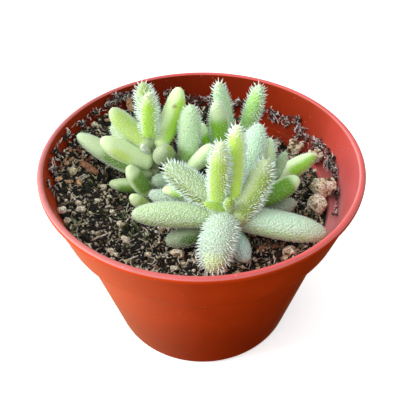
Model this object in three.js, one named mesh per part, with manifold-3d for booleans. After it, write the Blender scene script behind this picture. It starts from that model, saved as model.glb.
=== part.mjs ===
// Potted variegated pickle plant: a plastic nursery pot filled with potting mix, in which nine
// short stems stand that carry plump, bristly leaves in crossed pairs.
// Millimetres, +Z up. The pot stands on Z = 0 and its axis is the Z axis; -Y is the front.

import * as THREE from "three";
import { mergeVertices } from "three/addons/utils/BufferGeometryUtils.js";
import Module from "manifold-3d";

const wasm = await Module();
wasm.setup();

// Clearance between neighbouring pieces
const GAP = 0.3;

// Pot
const POT_SEGMENTS = 64;
const POT_HEIGHT = 61;
const RIM_RADIUS = 45;
const RIM_BAND = 2.2;
const LIP_HEIGHT = 1.8;
const LIP_OVERHANG = 0.6;
const LIP_DRAFT = 0.2;
const COLLAR_DEPTH = 15.6;
const COLLAR_FOOT_RADIUS = 41;
const COLLAR_INNER_FOOT_RADIUS = 39.5;
const WALL_TOP_RADIUS = 38.9;
const BASE_RADIUS = 29.7;
const POT_WALL = 1.1;
const FLOOR_LIFT = 1.6;
const FOOT_RING_WIDTH = 6.5;
const EDGE_ROUNDING = 0.5;
const DRAIN_HOLE_RADIUS = 2.6;
const DRAIN_CIRCLE_RADIUS = 14.5;
const DRAIN_HOLES_ON_CIRCLE = 6;
const DRAIN_HOLE_SIDES = 12;

// Potting mix
const SOIL_SEGMENTS = 44;
const SOIL_RINGS = 12;
const SOIL_LEVEL = 45;
const BANK_RISE = 13.75;
const BANK_AZIMUTH = 160;
const BANK_SPREAD = 125;
const BANK_FOOT_RADIUS = 20;
const BANK_TOP_RADIUS = 50.4;
const HUMP = 0.45;
const RIPPLE = 0.3;

// Stems and leaves
const STEM_SIDES = 8;
const STEM_RINGS = 7;
const STEM_TAPER = 0.12;
const STEM_TOP_DOME = 0.5;
const LEAF_SIDES = 10;
const LEAF_RINGS = 8;
const RING_CROWDING = 1.35;
const LEAF_NECK = 0.34;
const NECK_FADE = 1.5;
const LEAF_BELLY = 0.58;
const LEAF_POINT = 0.55;
const LEAF_TIP_DOME = 0.4;
const UPPER_FACE_HEIGHT = 0.88;
const BRISTLE_LENGTH = 1.0;
const BRISTLE_ROOT_RADIUS = 0.22;
const BRISTLE_LEAN = 0.35;

// Stones
const STONE_WAVES = [0.07, 0.06];
const STONE_SHRINK = 1.1;

const GOLDEN_ANGLE = Math.PI * (3 - Math.sqrt(5));
const radians = THREE.MathUtils.degToRad;
const at = (x, y, z) => new THREE.Vector3(x, y, z);

const POT_COLOUR = 0xc4552f;
const SOIL_COLOUR = 0x3a2c22;
const STEM_COLOUR = 0x8c7d5c;
const STONE_COLOUR = 0xb59478;
const LEAF_COLOURS = { pale: 0xc3ddb6, lime: 0xb4cf62, fresh: 0x8dbb4f, grey: 0x9fbc98 };

// Each stem is a quadratic curve from its foot in the soil, pulled towards a bend, to its tip.
const STEMS = {
  main: { foot: at(8, -13, 40), bend: at(7, -17, 49), tip: at(6.8, -18.2, 59), radius: 1.5 },
  inner: { foot: at(2.5, -9.5, 40), bend: at(2.5, -9, 48), tip: at(1.5, -9, 55), radius: 1.2 },
  right: { foot: at(13, -12, 40), bend: at(14, -11.5, 48), tip: at(15.5, -10, 54), radius: 1.3 },
  slim: { foot: at(17.5, -1.5, 40), bend: at(18.5, -1.5, 50), tip: at(19.5, -3, 57), radius: 1 },
  back: { foot: at(4.5, 11, 40), bend: at(5, 11.5, 48), tip: at(4.5, 12, 56), radius: 1.3 },
  rear: { foot: at(9.5, 16, 40), bend: at(10, 17, 48), tip: at(10.5, 17.5, 56.5), radius: 1.3 },
  middle: { foot: at(-3.5, 2.5, 40), bend: at(-4.5, 3.5, 48), tip: at(-5, 3.5, 55), radius: 1.3 },
  left: { foot: at(-12, -1, 40), bend: at(-14.5, 3, 50), tip: at(-14.2, 8.5, 60), radius: 1.4 },
  low: { foot: at(-15, -7, 40), bend: at(-15, -6, 45), tip: at(-15.5, -4.5, 49), radius: 1.2 },
};

// Each leaf leaves its stem at a height (0 foot, 1 tip) and grows to an azimuth at a rise above the
// horizontal that its curl adds to on the way to the point, in degrees, anticlockwise from +X.
// Its size is length, width and thickness. A seat is the azimuth of the stem's side it stands on,
// where that isn't the azimuth it grows to. Bristles are counted as they stand in these solids.
const LEAVES = {
  leaf_main_1: leaf("main", 0.86, [255, -2, -34], [16, 9, 6.8], "pale", 14),
  leaf_main_2: leaf("main", 0.72, [181, 7, -8], [23, 7.4, 6.8], "pale", 14),
  leaf_main_3: leaf("main", 0.72, [348, 1, -8], [24, 7.8, 7.4], "pale", 14),
  leaf_main_4: leaf("main", 0.9, [147, 14, 10], [18, 7.2, 6.6], "lime", 20),
  leaf_main_5: leaf("main", 1.0, [77, 77, 6], [17, 5, 4.8], "lime", 18, { seat: 172 }),
  leaf_main_6: leaf("main", 1.0, [88, 66, 8], [19.2, 4.7, 4.5], "lime", 18, { seat: 46 }),
  leaf_main_7: leaf("main", 0.88, [63, 28, 12], [23, 7.6, 5.6], "pale", 16, { seat: 85 }),
  leaf_main_8: leaf("main", 0.85, [38, 28, 50], [16.5, 5.8, 5.4], "lime", 20, { seat: 325 }),
  leaf_main_9: leaf("main", 0.5, [291, 0, -20], [10.5, 5.8, 5.2], "grey", 9),
  leaf_main_10: leaf("main", 0.43, [200, 5, -5], [15.5, 6.4, 5.4], "grey", 9),
  leaf_main_11: leaf("main", 0.97, [180, 18, 10], [5, 2.7, 2.5], "lime", 5, { seat: 236 }),
  leaf_main_12: leaf("main", 1.0, [260, 76, 0], [4.4, 2.8, 2.6], "lime", 5, { seat: 284 }),
  leaf_main_13: leaf("main", 0.55, [97, 12, 10], [14, 5.4, 5], "grey", 8),
  leaf_inner_1: leaf("inner", 0.6, [170, 10, 0], [15.5, 5.8, 5], "grey", 8, { seat: 190 }),
  leaf_inner_2: leaf("inner", 1.0, [176, 2, 0], [10.5, 4.4, 4], "fresh", 8, { seat: 205 }),
  leaf_right_1: leaf("right", 0.95, [26, 13, 12], [11, 6, 5.4], "fresh", 11, { seat: 350 }),
  leaf_right_2: leaf("right", 0.5, [19, 12, 6], [11, 5.2, 4.6], "grey", 8, { seat: 350 }),
  leaf_slim_1: leaf("slim", 0.68, [32, 7, 8], [15.5, 5.6, 5.2], "fresh", 12),
  leaf_slim_2: leaf("slim", 1.0, [80, 80, 0], [9, 3.4, 3.2], "pale", 9, { seat: 130 }),
  leaf_slim_3: leaf("slim", 0.9, [45, 64, 0], [7, 2.8, 2.6], "fresh", 6, { seat: 350 }),
  leaf_left_1: leaf("left", 0.51, [161, 13, 16], [24, 6.4, 5.8], "pale", 10, { seat: 154 }),
  leaf_left_2: leaf("left", 0.74, [180, 24, 16], [14.5, 6.6, 6.2], "fresh", 6, { seat: 215 }),
  leaf_left_3: leaf("left", 0.97, [150, 20, 24], [13.5, 6.4, 6], "fresh", 8, { seat: 190 }),
  leaf_left_4: leaf("left", 1.0, [107, 61, 8], [14.5, 5.6, 4.8], "lime", 14, { seat: 110 }),
  leaf_left_5: leaf("left", 1.0, [84, 72, 2], [14.5, 5, 4.6], "lime", 14, { seat: 252 }),
  leaf_left_6: leaf("left", 0.95, [61, 22, 46], [16.5, 6.4, 5.6], "fresh", 8, { seat: 20 }),
  leaf_left_7: leaf("left", 0.78, [300, 55, 0], [7, 6, 5.8], "pale", 6, { seat: 330 }),
  leaf_left_8: leaf("left", 0.66, [140, 10, 14], [17, 5.4, 5], "pale", 9, { seat: 120 }),
  leaf_left_9: leaf("left", 0.86, [222, 66, 0], [3.4, 2.8, 2.6], "pale", 4),
  leaf_left_10: leaf("left", 0.72, [88, 18, 10], [12, 5, 4.6], "fresh", 8),
  leaf_middle_1: leaf("middle", 0.95, [66, 78, 0], [16.5, 6.6, 5.6], "pale", 11, { seat: 75 }),
  leaf_middle_2: leaf("middle", 0.97, [340, 46, 20], [10, 5.6, 5], "pale", 8),
  leaf_middle_3: leaf("middle", 0.6, [77, 48, 4], [19, 4, 3.8], "grey", 8, { seat: 95 }),
  leaf_middle_4: leaf("middle", 0.55, [203, 24, 0], [9.5, 5.2, 5], "grey", 8, { seat: 220 }),
  leaf_middle_5: leaf("middle", 0.5, [120, 20, 10], [12, 4.8, 4.4], "grey", 7, { seat: 150 }),
  leaf_back_1: leaf("back", 0.8, [160, 64, 20], [10, 3.6, 3.4], "fresh", 6, { seat: 200 }),
  leaf_back_2: leaf("back", 1.0, [111, 78, 0], [14, 5.4, 5], "fresh", 11, { seat: 290 }),
  leaf_rear_1: leaf("rear", 1.0, [150, 74, 4], [15.5, 5.2, 4.8], "fresh", 14, { seat: 180 }),
  leaf_rear_2: leaf("rear", 0.98, [30, 66, 12], [15, 5.4, 5], "fresh", 14, { seat: 0 }),
  leaf_rear_3: leaf("rear", 0.5, [52, 14, 8], [12, 5, 4.6], "grey", 8),
  leaf_low_1: leaf("left", 0.36, [184, 4, 8], [12, 4.8, 4.4], "fresh", 6),
  leaf_low_2: leaf("low", 1.0, [158, 54, 8], [9, 5.2, 5], "fresh", 6, { seat: 110 }),
  leaf_low_3: leaf("low", 0.85, [190, 36, 20], [5, 4, 3.8], "grey", 4, { seat: 240 }),
};

// Pumice and grit lying half sunk in the mix: centre, half sizes, turn about Z in degrees
const STONES = {
  stone_1: { centre: at(35.9, -0.9, 49.2), half: at(3.7, 3.1, 2.8), turn: 10 },
  stone_2: { centre: at(33, -6.8, 48), half: at(2.6, 2.9, 2.2), turn: 40 },
  stone_3: { centre: at(29.6, 19.4, 48.4), half: at(2.3, 2.6, 2.2), turn: 70 },
  stone_4: { centre: at(35.4, 13.4, 49.4), half: at(2.2, 2.2, 2), turn: 15 },
  stone_5: { centre: at(-6.4, -23.4, 45.6), half: at(2.2, 1.4, 1.2), turn: -8 },
  stone_6: { centre: at(23.5, -23.8, 46.6), half: at(1.9, 1.4, 1.3), turn: 20 },
};

// The fields of one leaf, named
function leaf(stem, height, [azimuth, rise, curl], [length, width, thickness], colour, bristles, other) {
  return { stem, height, azimuth, rise, curl, length, width, thickness, colour, bristles, ...other };
}

// Points and triangles that together become one closed geometry.
class Surface {
  points = [];
  triangles = [];

  point(position) {
    return this.points.push(position) - 1;
  }

  // A flat polygon, as a fan from its first corner, anticlockwise seen from outside
  polygon(...corners) {
    for (let i = 1; i + 1 < corners.length; i++) {
      this.triangles.push(corners[0], corners[i], corners[i + 1]);
    }
  }

  geometry() {
    const geometry = new THREE.BufferGeometry().setFromPoints(this.points);
    geometry.setIndex(this.triangles);
    geometry.computeVertexNormals();
    return geometry;
  }
}

// A ring of points round a centre, turning from one half axis towards the other.
function ring(surface, centre, halfAxisA, halfAxisB, sides) {
  return Array.from({ length: sides }, (_, j) => {
    const angle = (2 * Math.PI * j) / sides;
    const point = centre.clone().addScaledVector(halfAxisA, Math.cos(angle));
    return surface.point(point.addScaledVector(halfAxisB, Math.sin(angle)));
  });
}

// Closes one end of a row of rings on a point.
function cap(surface, edge, position, facesForward) {
  const centre = surface.point(position);
  edge.forEach((corner, j) => {
    const next = edge[(j + 1) % edge.length];
    if (facesForward) surface.polygon(centre, corner, next);
    else surface.polygon(centre, next, corner);
  });
}

// A closed geometry as a solid that can be joined and cut
function solid(geometry) {
  const bare = new THREE.BufferGeometry();
  bare.setAttribute("position", geometry.getAttribute("position"));
  if (geometry.index) bare.setIndex(geometry.index);
  const merged = mergeVertices(bare, 1e-4);
  const vertProperties = merged.getAttribute("position").array;
  const triVerts = new Uint32Array(merged.index.array);
  return new wasm.Manifold(new wasm.Mesh({ numProp: 3, vertProperties, triVerts }));
}

function geometryOf(body) {
  const { vertProperties, triVerts } = body.getMesh();
  const geometry = new THREE.BufferGeometry();
  geometry.setAttribute("position", new THREE.BufferAttribute(vertProperties, 3));
  geometry.setIndex(new THREE.BufferAttribute(triVerts, 1));
  geometry.computeVertexNormals();
  return geometry;
}

// Turns a profile of [radius, height] pairs round the Z axis, from the underside outwards and over.
function turned(profile, segments) {
  const points = profile.map(([radius, height]) => new THREE.Vector2(radius, height));
  return new THREE.LatheGeometry(points, segments).rotateX(Math.PI / 2);
}

// Radius of the collar's inner face at a height of the pot
function collarInnerRadius(height) {
  const ledge = POT_HEIGHT - COLLAR_DEPTH + POT_WALL;
  const share = (height - ledge) / (POT_HEIGHT - ledge);
  return THREE.MathUtils.lerp(COLLAR_INNER_FOOT_RADIUS, RIM_RADIUS - RIM_BAND, share);
}

function potGeometry() {
  const step = POT_HEIGHT - COLLAR_DEPTH;
  const ledge = step + POT_WALL;
  const floor = FLOOR_LIFT + POT_WALL;
  const round = EDGE_ROUNDING;
  const lipRadius = RIM_RADIUS - LIP_OVERHANG;
  const body = solid(
    turned(
      [
        [0, FLOOR_LIFT],
        [BASE_RADIUS - FOOT_RING_WIDTH - FLOOR_LIFT, FLOOR_LIFT],
        [BASE_RADIUS - FOOT_RING_WIDTH, 0],
        [BASE_RADIUS - 2 * round, 0],
        [BASE_RADIUS, 2 * round],
        [WALL_TOP_RADIUS, step],
        [COLLAR_FOOT_RADIUS, step],
        [lipRadius, POT_HEIGHT - LIP_HEIGHT],
        [RIM_RADIUS, POT_HEIGHT - LIP_HEIGHT + LIP_DRAFT],
        [RIM_RADIUS, POT_HEIGHT - round],
        [RIM_RADIUS - round, POT_HEIGHT],
        [RIM_RADIUS - RIM_BAND + round, POT_HEIGHT],
        [RIM_RADIUS - RIM_BAND, POT_HEIGHT - round],
        [collarInnerRadius(ledge), ledge],
        [WALL_TOP_RADIUS - POT_WALL - round, ledge],
        [WALL_TOP_RADIUS - POT_WALL - 2 * round, ledge - 2 * round],
        [BASE_RADIUS - POT_WALL, floor + round],
        [BASE_RADIUS - POT_WALL - round, floor],
        [0, floor],
      ],
      POT_SEGMENTS,
    ),
  );
  const radius = DRAIN_HOLE_RADIUS;
  const drain = new THREE.CylinderGeometry(radius, radius, 4 * floor, DRAIN_HOLE_SIDES).rotateX(Math.PI / 2);
  let drained = body.subtract(solid(drain));
  for (let i = 0; i < DRAIN_HOLES_ON_CIRCLE; i++) {
    const angle = (2 * Math.PI * (i + 0.5)) / DRAIN_HOLES_ON_CIRCLE;
    const [x, y] = [DRAIN_CIRCLE_RADIUS * Math.cos(angle), DRAIN_CIRCLE_RADIUS * Math.sin(angle)];
    drained = drained.subtract(solid(drain.clone().translate(x, y, 0)));
  }
  return geometryOf(drained);
}

// Height of the mix's surface: level in the middle, banked up against the left and back of the collar,
// with low humps about 12 mm apart and ripples between them
function soilHeight(x, y) {
  const bank = radians(BANK_AZIMUTH);
  const towards = (x * Math.cos(bank) + y * Math.sin(bank)) / Math.max(Math.hypot(x, y), GAP);
  const away = (Math.acos(THREE.MathUtils.clamp(towards, -1, 1)) * 180) / BANK_SPREAD;
  const along = 0.5 + 0.5 * Math.cos(Math.min(Math.PI, away));
  const across = THREE.MathUtils.smoothstep(Math.hypot(x, y), BANK_FOOT_RADIUS, BANK_TOP_RADIUS);
  const humps = HUMP * Math.sin(0.52 * x + 1.1) * Math.cos(0.47 * y - 0.4);
  const ripples = RIPPLE * Math.sin(0.9 * x - 0.6 * y);
  return SOIL_LEVEL + BANK_RISE * along * across + humps + ripples;
}

// The surface of the mix, as a round block that is flat underneath and wider than the pot's inside
function soilBlock() {
  const surface = new Surface();
  const rings = [];
  for (let i = 1; i <= SOIL_RINGS; i++) {
    const radius = (RIM_RADIUS * i) / SOIL_RINGS;
    rings.push(
      Array.from({ length: SOIL_SEGMENTS }, (_, j) => {
        const angle = (2 * Math.PI * j) / SOIL_SEGMENTS;
        const [x, y] = [radius * Math.cos(angle), radius * Math.sin(angle)];
        return surface.point(at(x, y, soilHeight(x, y)));
      }),
    );
  }
  const under = rings.at(-1).map((id) => {
    const { x, y } = surface.points[id];
    return surface.point(at(x, y, 0));
  });
  cap(surface, rings[0], at(0, 0, soilHeight(0, 0)), true);
  cap(surface, under, at(0, 0, 0), false);
  const rows = [...rings, under];
  for (let i = 0; i + 1 < rows.length; i++) {
    for (let j = 0; j < SOIL_SEGMENTS; j++) {
      const next = (j + 1) % SOIL_SEGMENTS;
      surface.polygon(rows[i + 1][j], rows[i + 1][next], rows[i][next], rows[i][j]);
    }
  }
  return surface.geometry();
}

// The inside of the pot less the gap, from its floor to its rim
function potCavity() {
  const ledge = POT_HEIGHT - COLLAR_DEPTH + POT_WALL + GAP;
  const floor = FLOOR_LIFT + POT_WALL + GAP;
  return turned(
    [
      [0, floor],
      [BASE_RADIUS - POT_WALL - EDGE_ROUNDING - GAP, floor],
      [WALL_TOP_RADIUS - POT_WALL - 2 * EDGE_ROUNDING - GAP, ledge - 2 * EDGE_ROUNDING],
      [WALL_TOP_RADIUS - POT_WALL - EDGE_ROUNDING - GAP, ledge],
      [collarInnerRadius(ledge) - GAP, ledge],
      [collarInnerRadius(POT_HEIGHT) - GAP, POT_HEIGHT],
      [0, POT_HEIGHT],
    ],
    SOIL_SEGMENTS,
  );
}

function soilGeometry() {
  let mix = solid(soilBlock()).intersect(solid(potCavity()));
  for (const stem of Object.values(STEMS)) mix = mix.subtract(solid(stemGeometry(stem, GAP)));
  for (const stone of Object.values(STONES)) mix = mix.subtract(solid(stoneGeometry(stone, GAP)));
  return geometryOf(mix);
}

// A round stem, a little thicker at its foot, grown outwards by a margin where it is cut from the soil
function stemGeometry(stem, margin = 0) {
  const surface = new Surface();
  const curve = stemCurve(stem);
  const rings = [];
  for (let i = 0; i < STEM_RINGS; i++) {
    const share = i / (STEM_RINGS - 1);
    const radius = stemRadius(stem, share) + margin;
    const along = curve.getTangent(share);
    const across = at(1, 0, 0).cross(along).cross(along).negate().setLength(radius);
    const over = along.clone().cross(across);
    rings.push(ring(surface, curve.getPoint(share), across, over, STEM_SIDES));
  }
  skin(surface, rings);
  const foot = curve.getPoint(0).addScaledVector(curve.getTangent(0), -margin);
  const top = curve.getPoint(1).addScaledVector(curve.getTangent(1), STEM_TOP_DOME * stem.radius);
  cap(surface, rings[0], foot, false);
  cap(surface, rings.at(-1), top, true);
  return surface.geometry();
}

function stemCurve({ foot, bend, tip }) {
  return new THREE.QuadraticBezierCurve3(foot, bend, tip);
}

function stemRadius(stem, share) {
  return stem.radius * (1 + STEM_TAPER * (1 - share));
}

// The faces between rings, with a bristle on each face that the map names
function skin(surface, rings, bristles = new Map()) {
  for (let i = 0; i + 1 < rings.length; i++) {
    const sides = rings[i].length;
    for (let j = 0; j < sides; j++) {
      const next = (j + 1) % sides;
      const corners = [rings[i][j], rings[i][next], rings[i + 1][next], rings[i + 1][j]];
      if (bristles.has(i * sides + j)) bristle(surface, corners);
      else surface.polygon(...corners);
    }
  }
}

// Raises a slim three-sided bristle from the middle of a face, leaning towards the leaf's point.
function bristle(surface, [a, b, c, d]) {
  const [pa, pb, pc, pd] = [a, b, c, d].map((id) => surface.points[id]);
  const middle = pa.clone().add(pb).add(pc).add(pd).multiplyScalar(0.25);
  const forward = pc.clone().add(pd).sub(pa).sub(pb).normalize();
  const outward = pc.clone().sub(pa).cross(pd.clone().sub(pb)).normalize();
  const sideways = forward.clone().cross(outward);
  const root = (turn) => {
    const point = middle.clone().addScaledVector(forward, BRISTLE_ROOT_RADIUS * Math.cos(turn));
    return surface.point(point.addScaledVector(sideways, BRISTLE_ROOT_RADIUS * Math.sin(turn)));
  };
  const [front, right, left] = [root(0), root(radians(120)), root(radians(-120))];
  const point = middle.addScaledVector(outward, BRISTLE_LENGTH);
  const tip = surface.point(point.addScaledVector(forward, BRISTLE_LEAN * BRISTLE_LENGTH));
  surface.polygon(a, b, right, left);
  surface.polygon(b, c, right);
  surface.polygon(c, front, right);
  surface.polygon(c, d, front);
  surface.polygon(d, left, front);
  surface.polygon(d, a, left);
  surface.polygon(left, right, tip);
  surface.polygon(right, front, tip);
  surface.polygon(front, left, tip);
}

// The faces that carry bristles, a golden angle apart round the leaf and evenly along it
function bristleFaces(count) {
  const faces = new Map();
  for (let k = 0; k < count; k++) {
    const along = Math.floor(((k + 0.5) / count) * (LEAF_RINGS - 1));
    let side = Math.floor(((k * GOLDEN_ANGLE) / (2 * Math.PI)) * LEAF_SIDES) % LEAF_SIDES;
    while (faces.has(along * LEAF_SIDES + side)) side = (side + 1) % LEAF_SIDES;
    faces.set(along * LEAF_SIDES + side, true);
  }
  return faces;
}

// Half width of a leaf at a share of its length: a blunt neck, a full belly and a rounded point
function leafFullness(share) {
  const peak = LEAF_BELLY / (LEAF_BELLY + LEAF_POINT);
  const highest = peak ** LEAF_BELLY * (1 - peak) ** LEAF_POINT;
  const belly = (share ** LEAF_BELLY * (1 - share) ** LEAF_POINT) / highest;
  return Math.hypot(belly, LEAF_NECK * (1 - share) ** NECK_FADE);
}

// Where a leaf's neck meets its stem, clear of the stem's skin
function leafBase(grown) {
  const stem = STEMS[grown.stem];
  const seat = radians(grown.seat ?? grown.azimuth);
  const tilt = Math.abs(Math.sin(radians(grown.rise)));
  const reach = stemRadius(stem, grown.height) + GAP + 0.5 * LEAF_NECK * grown.width * tilt;
  const onStem = stemCurve(stem).getPoint(grown.height);
  return onStem.add(at(reach * Math.cos(seat), reach * Math.sin(seat), 0));
}

// A leaf: rings across a curved midline, whose heading starts at the rise and turns by the curl
function leafGeometry(grown) {
  const surface = new Surface();
  const azimuth = radians(grown.azimuth);
  const sideways = at(-Math.sin(azimuth), Math.cos(azimuth), 0);
  const heading = (share) => {
    const climb = radians(grown.rise + grown.curl * share);
    const level = Math.cos(climb);
    return at(level * Math.cos(azimuth), level * Math.sin(azimuth), Math.sin(climb));
  };
  const position = leafBase(grown);
  const start = position.clone();
  const rings = [];
  let reached = 0;
  for (let i = 0; i < LEAF_RINGS; i++) {
    const share = 1 - (1 - i / LEAF_RINGS) ** RING_CROWDING;
    position.addScaledVector(heading((reached + share) / 2), grown.length * (share - reached));
    reached = share;
    const fullness = leafFullness(share);
    const across = sideways.clone().multiplyScalar(0.5 * grown.width * fullness);
    const over = heading(share).cross(sideways).multiplyScalar(0.5 * grown.thickness * fullness);
    const edge = ring(surface, position, across, over, LEAF_SIDES);
    for (const id of edge) {
      const height = surface.points[id].clone().sub(position).dot(over) / over.lengthSq();
      if (height > 0) surface.points[id].addScaledVector(over, (UPPER_FACE_HEIGHT - 1) * height);
    }
    rings.push(edge);
  }
  skin(surface, rings, bristleFaces(grown.bristles));
  cap(surface, rings[0], start, false);
  position.addScaledVector(heading((reached + 1) / 2), grown.length * (1 - reached));
  cap(surface, rings.at(-1), position.addScaledVector(heading(1), LEAF_TIP_DOME), true);
  return surface.geometry();
}

// A lumpy stone: a ball pushed in and out by a few waves, then stretched to its half sizes
function stoneGeometry({ centre, half, turn }, margin = 0) {
  const geometry = new THREE.IcosahedronGeometry(1, 1);
  const position = geometry.getAttribute("position");
  const vertex = at(0, 0, 0);
  for (let i = 0; i < position.count; i++) {
    vertex.fromBufferAttribute(position, i);
    const { x, y, z } = vertex;
    const phase = centre.x + centre.y;
    const [broad, narrow] = STONE_WAVES;
    const lump = 1 + broad * Math.sin(3 * x + phase) + narrow * Math.cos(4 * y - 2 * z + phase);
    vertex.multiplyScalar(lump / STONE_SHRINK).multiply(half);
    vertex.setLength(vertex.length() + margin);
    position.setXYZ(i, vertex.x, vertex.y, vertex.z);
  }
  geometry.rotateZ(radians(turn)).translate(centre.x, centre.y, centre.z);
  return geometry;
}

// One named mesh with its own material
function piece(name, geometry, color, roughness) {
  const material = new THREE.MeshStandardMaterial({ color, roughness, metalness: 0 });
  const mesh = new THREE.Mesh(geometry, material);
  mesh.name = name;
  return mesh;
}

const group = new THREE.Group();
group.add(piece("pot", potGeometry(), POT_COLOUR, 0.45));
group.add(piece("soil", soilGeometry(), SOIL_COLOUR, 0.95));
for (const [name, stem] of Object.entries(STEMS)) {
  group.add(piece(`stem_${name}`, stemGeometry(stem), STEM_COLOUR, 0.7));
}
for (const [name, grown] of Object.entries(LEAVES)) {
  group.add(piece(name, leafGeometry(grown), LEAF_COLOURS[grown.colour], 0.5));
}
for (const [name, stone] of Object.entries(STONES)) {
  group.add(piece(name, stoneGeometry(stone), STONE_COLOUR, 0.9));
}

export default group;
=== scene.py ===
"""Potted variegated pickle plant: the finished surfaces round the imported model.

Lengths are millimetres in the classes and become metres where a mesh is written. +Z is up, the pot
stands on Z = 0 round the Z axis, and -Y is the front. The leaf, stem and stone tables follow the
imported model's own tables, so each fine piece lies where the solid that it replaces does. Only
leaf_main_1 is a little slimmer here, leaf_main_8 a little plumper, and the lip's top narrower.
"""

import logging
import math
from dataclasses import astuple, dataclass, field, replace
from enum import Enum

import bpy
import numpy as np
from bpy.types import Material, Node, NodeSocket, NodeTree, Object, World
from numpy.random import Generator
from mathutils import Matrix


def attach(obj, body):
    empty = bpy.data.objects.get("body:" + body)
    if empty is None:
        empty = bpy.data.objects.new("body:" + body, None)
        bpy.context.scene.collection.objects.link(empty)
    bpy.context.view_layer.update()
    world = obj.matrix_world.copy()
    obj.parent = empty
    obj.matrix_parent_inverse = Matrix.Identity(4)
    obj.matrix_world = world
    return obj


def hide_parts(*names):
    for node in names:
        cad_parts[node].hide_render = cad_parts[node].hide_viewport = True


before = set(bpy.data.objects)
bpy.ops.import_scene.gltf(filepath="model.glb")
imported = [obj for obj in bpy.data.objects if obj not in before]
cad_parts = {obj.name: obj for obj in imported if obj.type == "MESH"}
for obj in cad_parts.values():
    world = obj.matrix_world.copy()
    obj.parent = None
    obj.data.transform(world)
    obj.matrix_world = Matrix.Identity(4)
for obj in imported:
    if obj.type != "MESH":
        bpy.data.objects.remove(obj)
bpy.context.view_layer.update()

Array = np.ndarray
Triple = tuple[float, float, float]
LOG = logging.getLogger("pickle_plant")
MM = 0.001
TURN = 2 * math.pi
GOLDEN_ANGLE = math.pi * (3 - math.sqrt(5))
UP = np.array([0.0, 0.0, 1.0])
TINY = 1e-12
NEARLY_UP = 0.9
HASH_STEPS = (374761393, 668265263, 1440662683)  # large odd numbers that scatter neighbouring cells
HASH_SEED, HASH_SPREAD, HASH_SHIFTS = 974634777, 1274126177, (13, 16)
WORD, HALF_WORD = 0xFFFFFFFF, 0xFFFF
MIX_A, MIX_B = 6, 7  # sockets of the Mix node's two colours


# Numbers and arrays


def linear(colour: str) -> tuple[float, float, float, float]:
    """Turns an sRGB hex colour into linear red, green, blue and an alpha of one, by sRGB's own curve."""
    parts = [int(colour[i : i + 2], 16) / 255 for i in (1, 3, 5)]
    return (*[p / 12.92 if p <= 0.04045 else ((p + 0.055) / 1.055) ** 2.4 for p in parts], 1.0)


def smoothstep(value: Array, low: float, high: float) -> Array:
    """Eases from 0 at low to 1 at high: 3t squared less 2t cubed."""
    share = np.clip((np.asarray(value, float) - low) / (high - low), 0, 1)
    return share * share * (3 - 2 * share)


def unit(vectors: Array) -> Array:
    """Scales each vector to length one."""
    return vectors / np.maximum(np.linalg.norm(vectors, axis=-1, keepdims=True), TINY)


def xyz(x: Array, y: Array | float = 0.0, z: Array | float = 0.0) -> Array:
    """Points from their coordinates, any of which may be one number for all."""
    return np.stack(np.broadcast_arrays(x, y, z), axis=-1)


def turned(angle: Array, radius: Array, height: Array | float) -> Array:
    """Points at an angle, radius and height round the Z axis."""
    return xyz(radius * np.cos(angle), radius * np.sin(angle), height)


def around(count: int) -> Array:
    """Angles of so many points spread round a circle."""
    return np.arange(count) * TURN / count


def apart(angle: Array, azimuth: float) -> Array:
    """How far angles lie from an azimuth, in radians, the short way round."""
    return np.abs((angle - azimuth + math.pi) % TURN - math.pi)


def facing(angle: Array, azimuth: float, power: float) -> Array:
    """How squarely angles face an azimuth in degrees: the cosine of what lies between, to a power."""
    return np.clip(np.cos(angle - math.radians(azimuth)), 0, 1) ** power


def trapezia(values: Array, places: Array) -> Array:
    """Running area under values over places, from nothing: each step's mean value times its width."""
    return np.concatenate([[0], np.cumsum(0.5 * (values[1:] + values[:-1]) * np.diff(places))])


def lattice(cells: Array, seed: int) -> Array:
    """Gives each whole-number cell its own random number by mixing the bits of its coordinates.

    Args:
        cells: whole-number coordinates, last axis of three.
        seed: chooses another set of numbers.

    Returns:
        Numbers from 0 to 1, one for each cell.
    """
    first, second = HASH_SHIFTS
    bits = (cells @ np.array(HASH_STEPS) + seed * HASH_SEED) & WORD
    bits = ((bits ^ (bits >> first)) * HASH_SPREAD) & WORD
    return ((bits ^ (bits >> second)) & HALF_WORD) / HALF_WORD


def noise(points: Array, size: float, seed: int) -> Array:
    """Smooth random field: random numbers on a cubic lattice, blended by smoothstep between corners.

    Args:
        points: places in millimetres, last axis of three.
        size: spacing of the lattice in millimetres.
        seed: chooses another field.

    Returns:
        Values from -1 to 1.
    """
    scaled = points / size
    low = np.floor(scaled).astype(np.int64)
    share = scaled - low
    share = share * share * (3 - 2 * share)
    total = np.zeros(points.shape[:-1])
    for corner in np.ndindex(2, 2, 2):
        weight = np.prod(np.where(np.array(corner), share, 1 - share), axis=-1)
        total += weight * lattice(low + np.array(corner), seed)
    return 2 * total - 1


# Meshes


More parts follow.
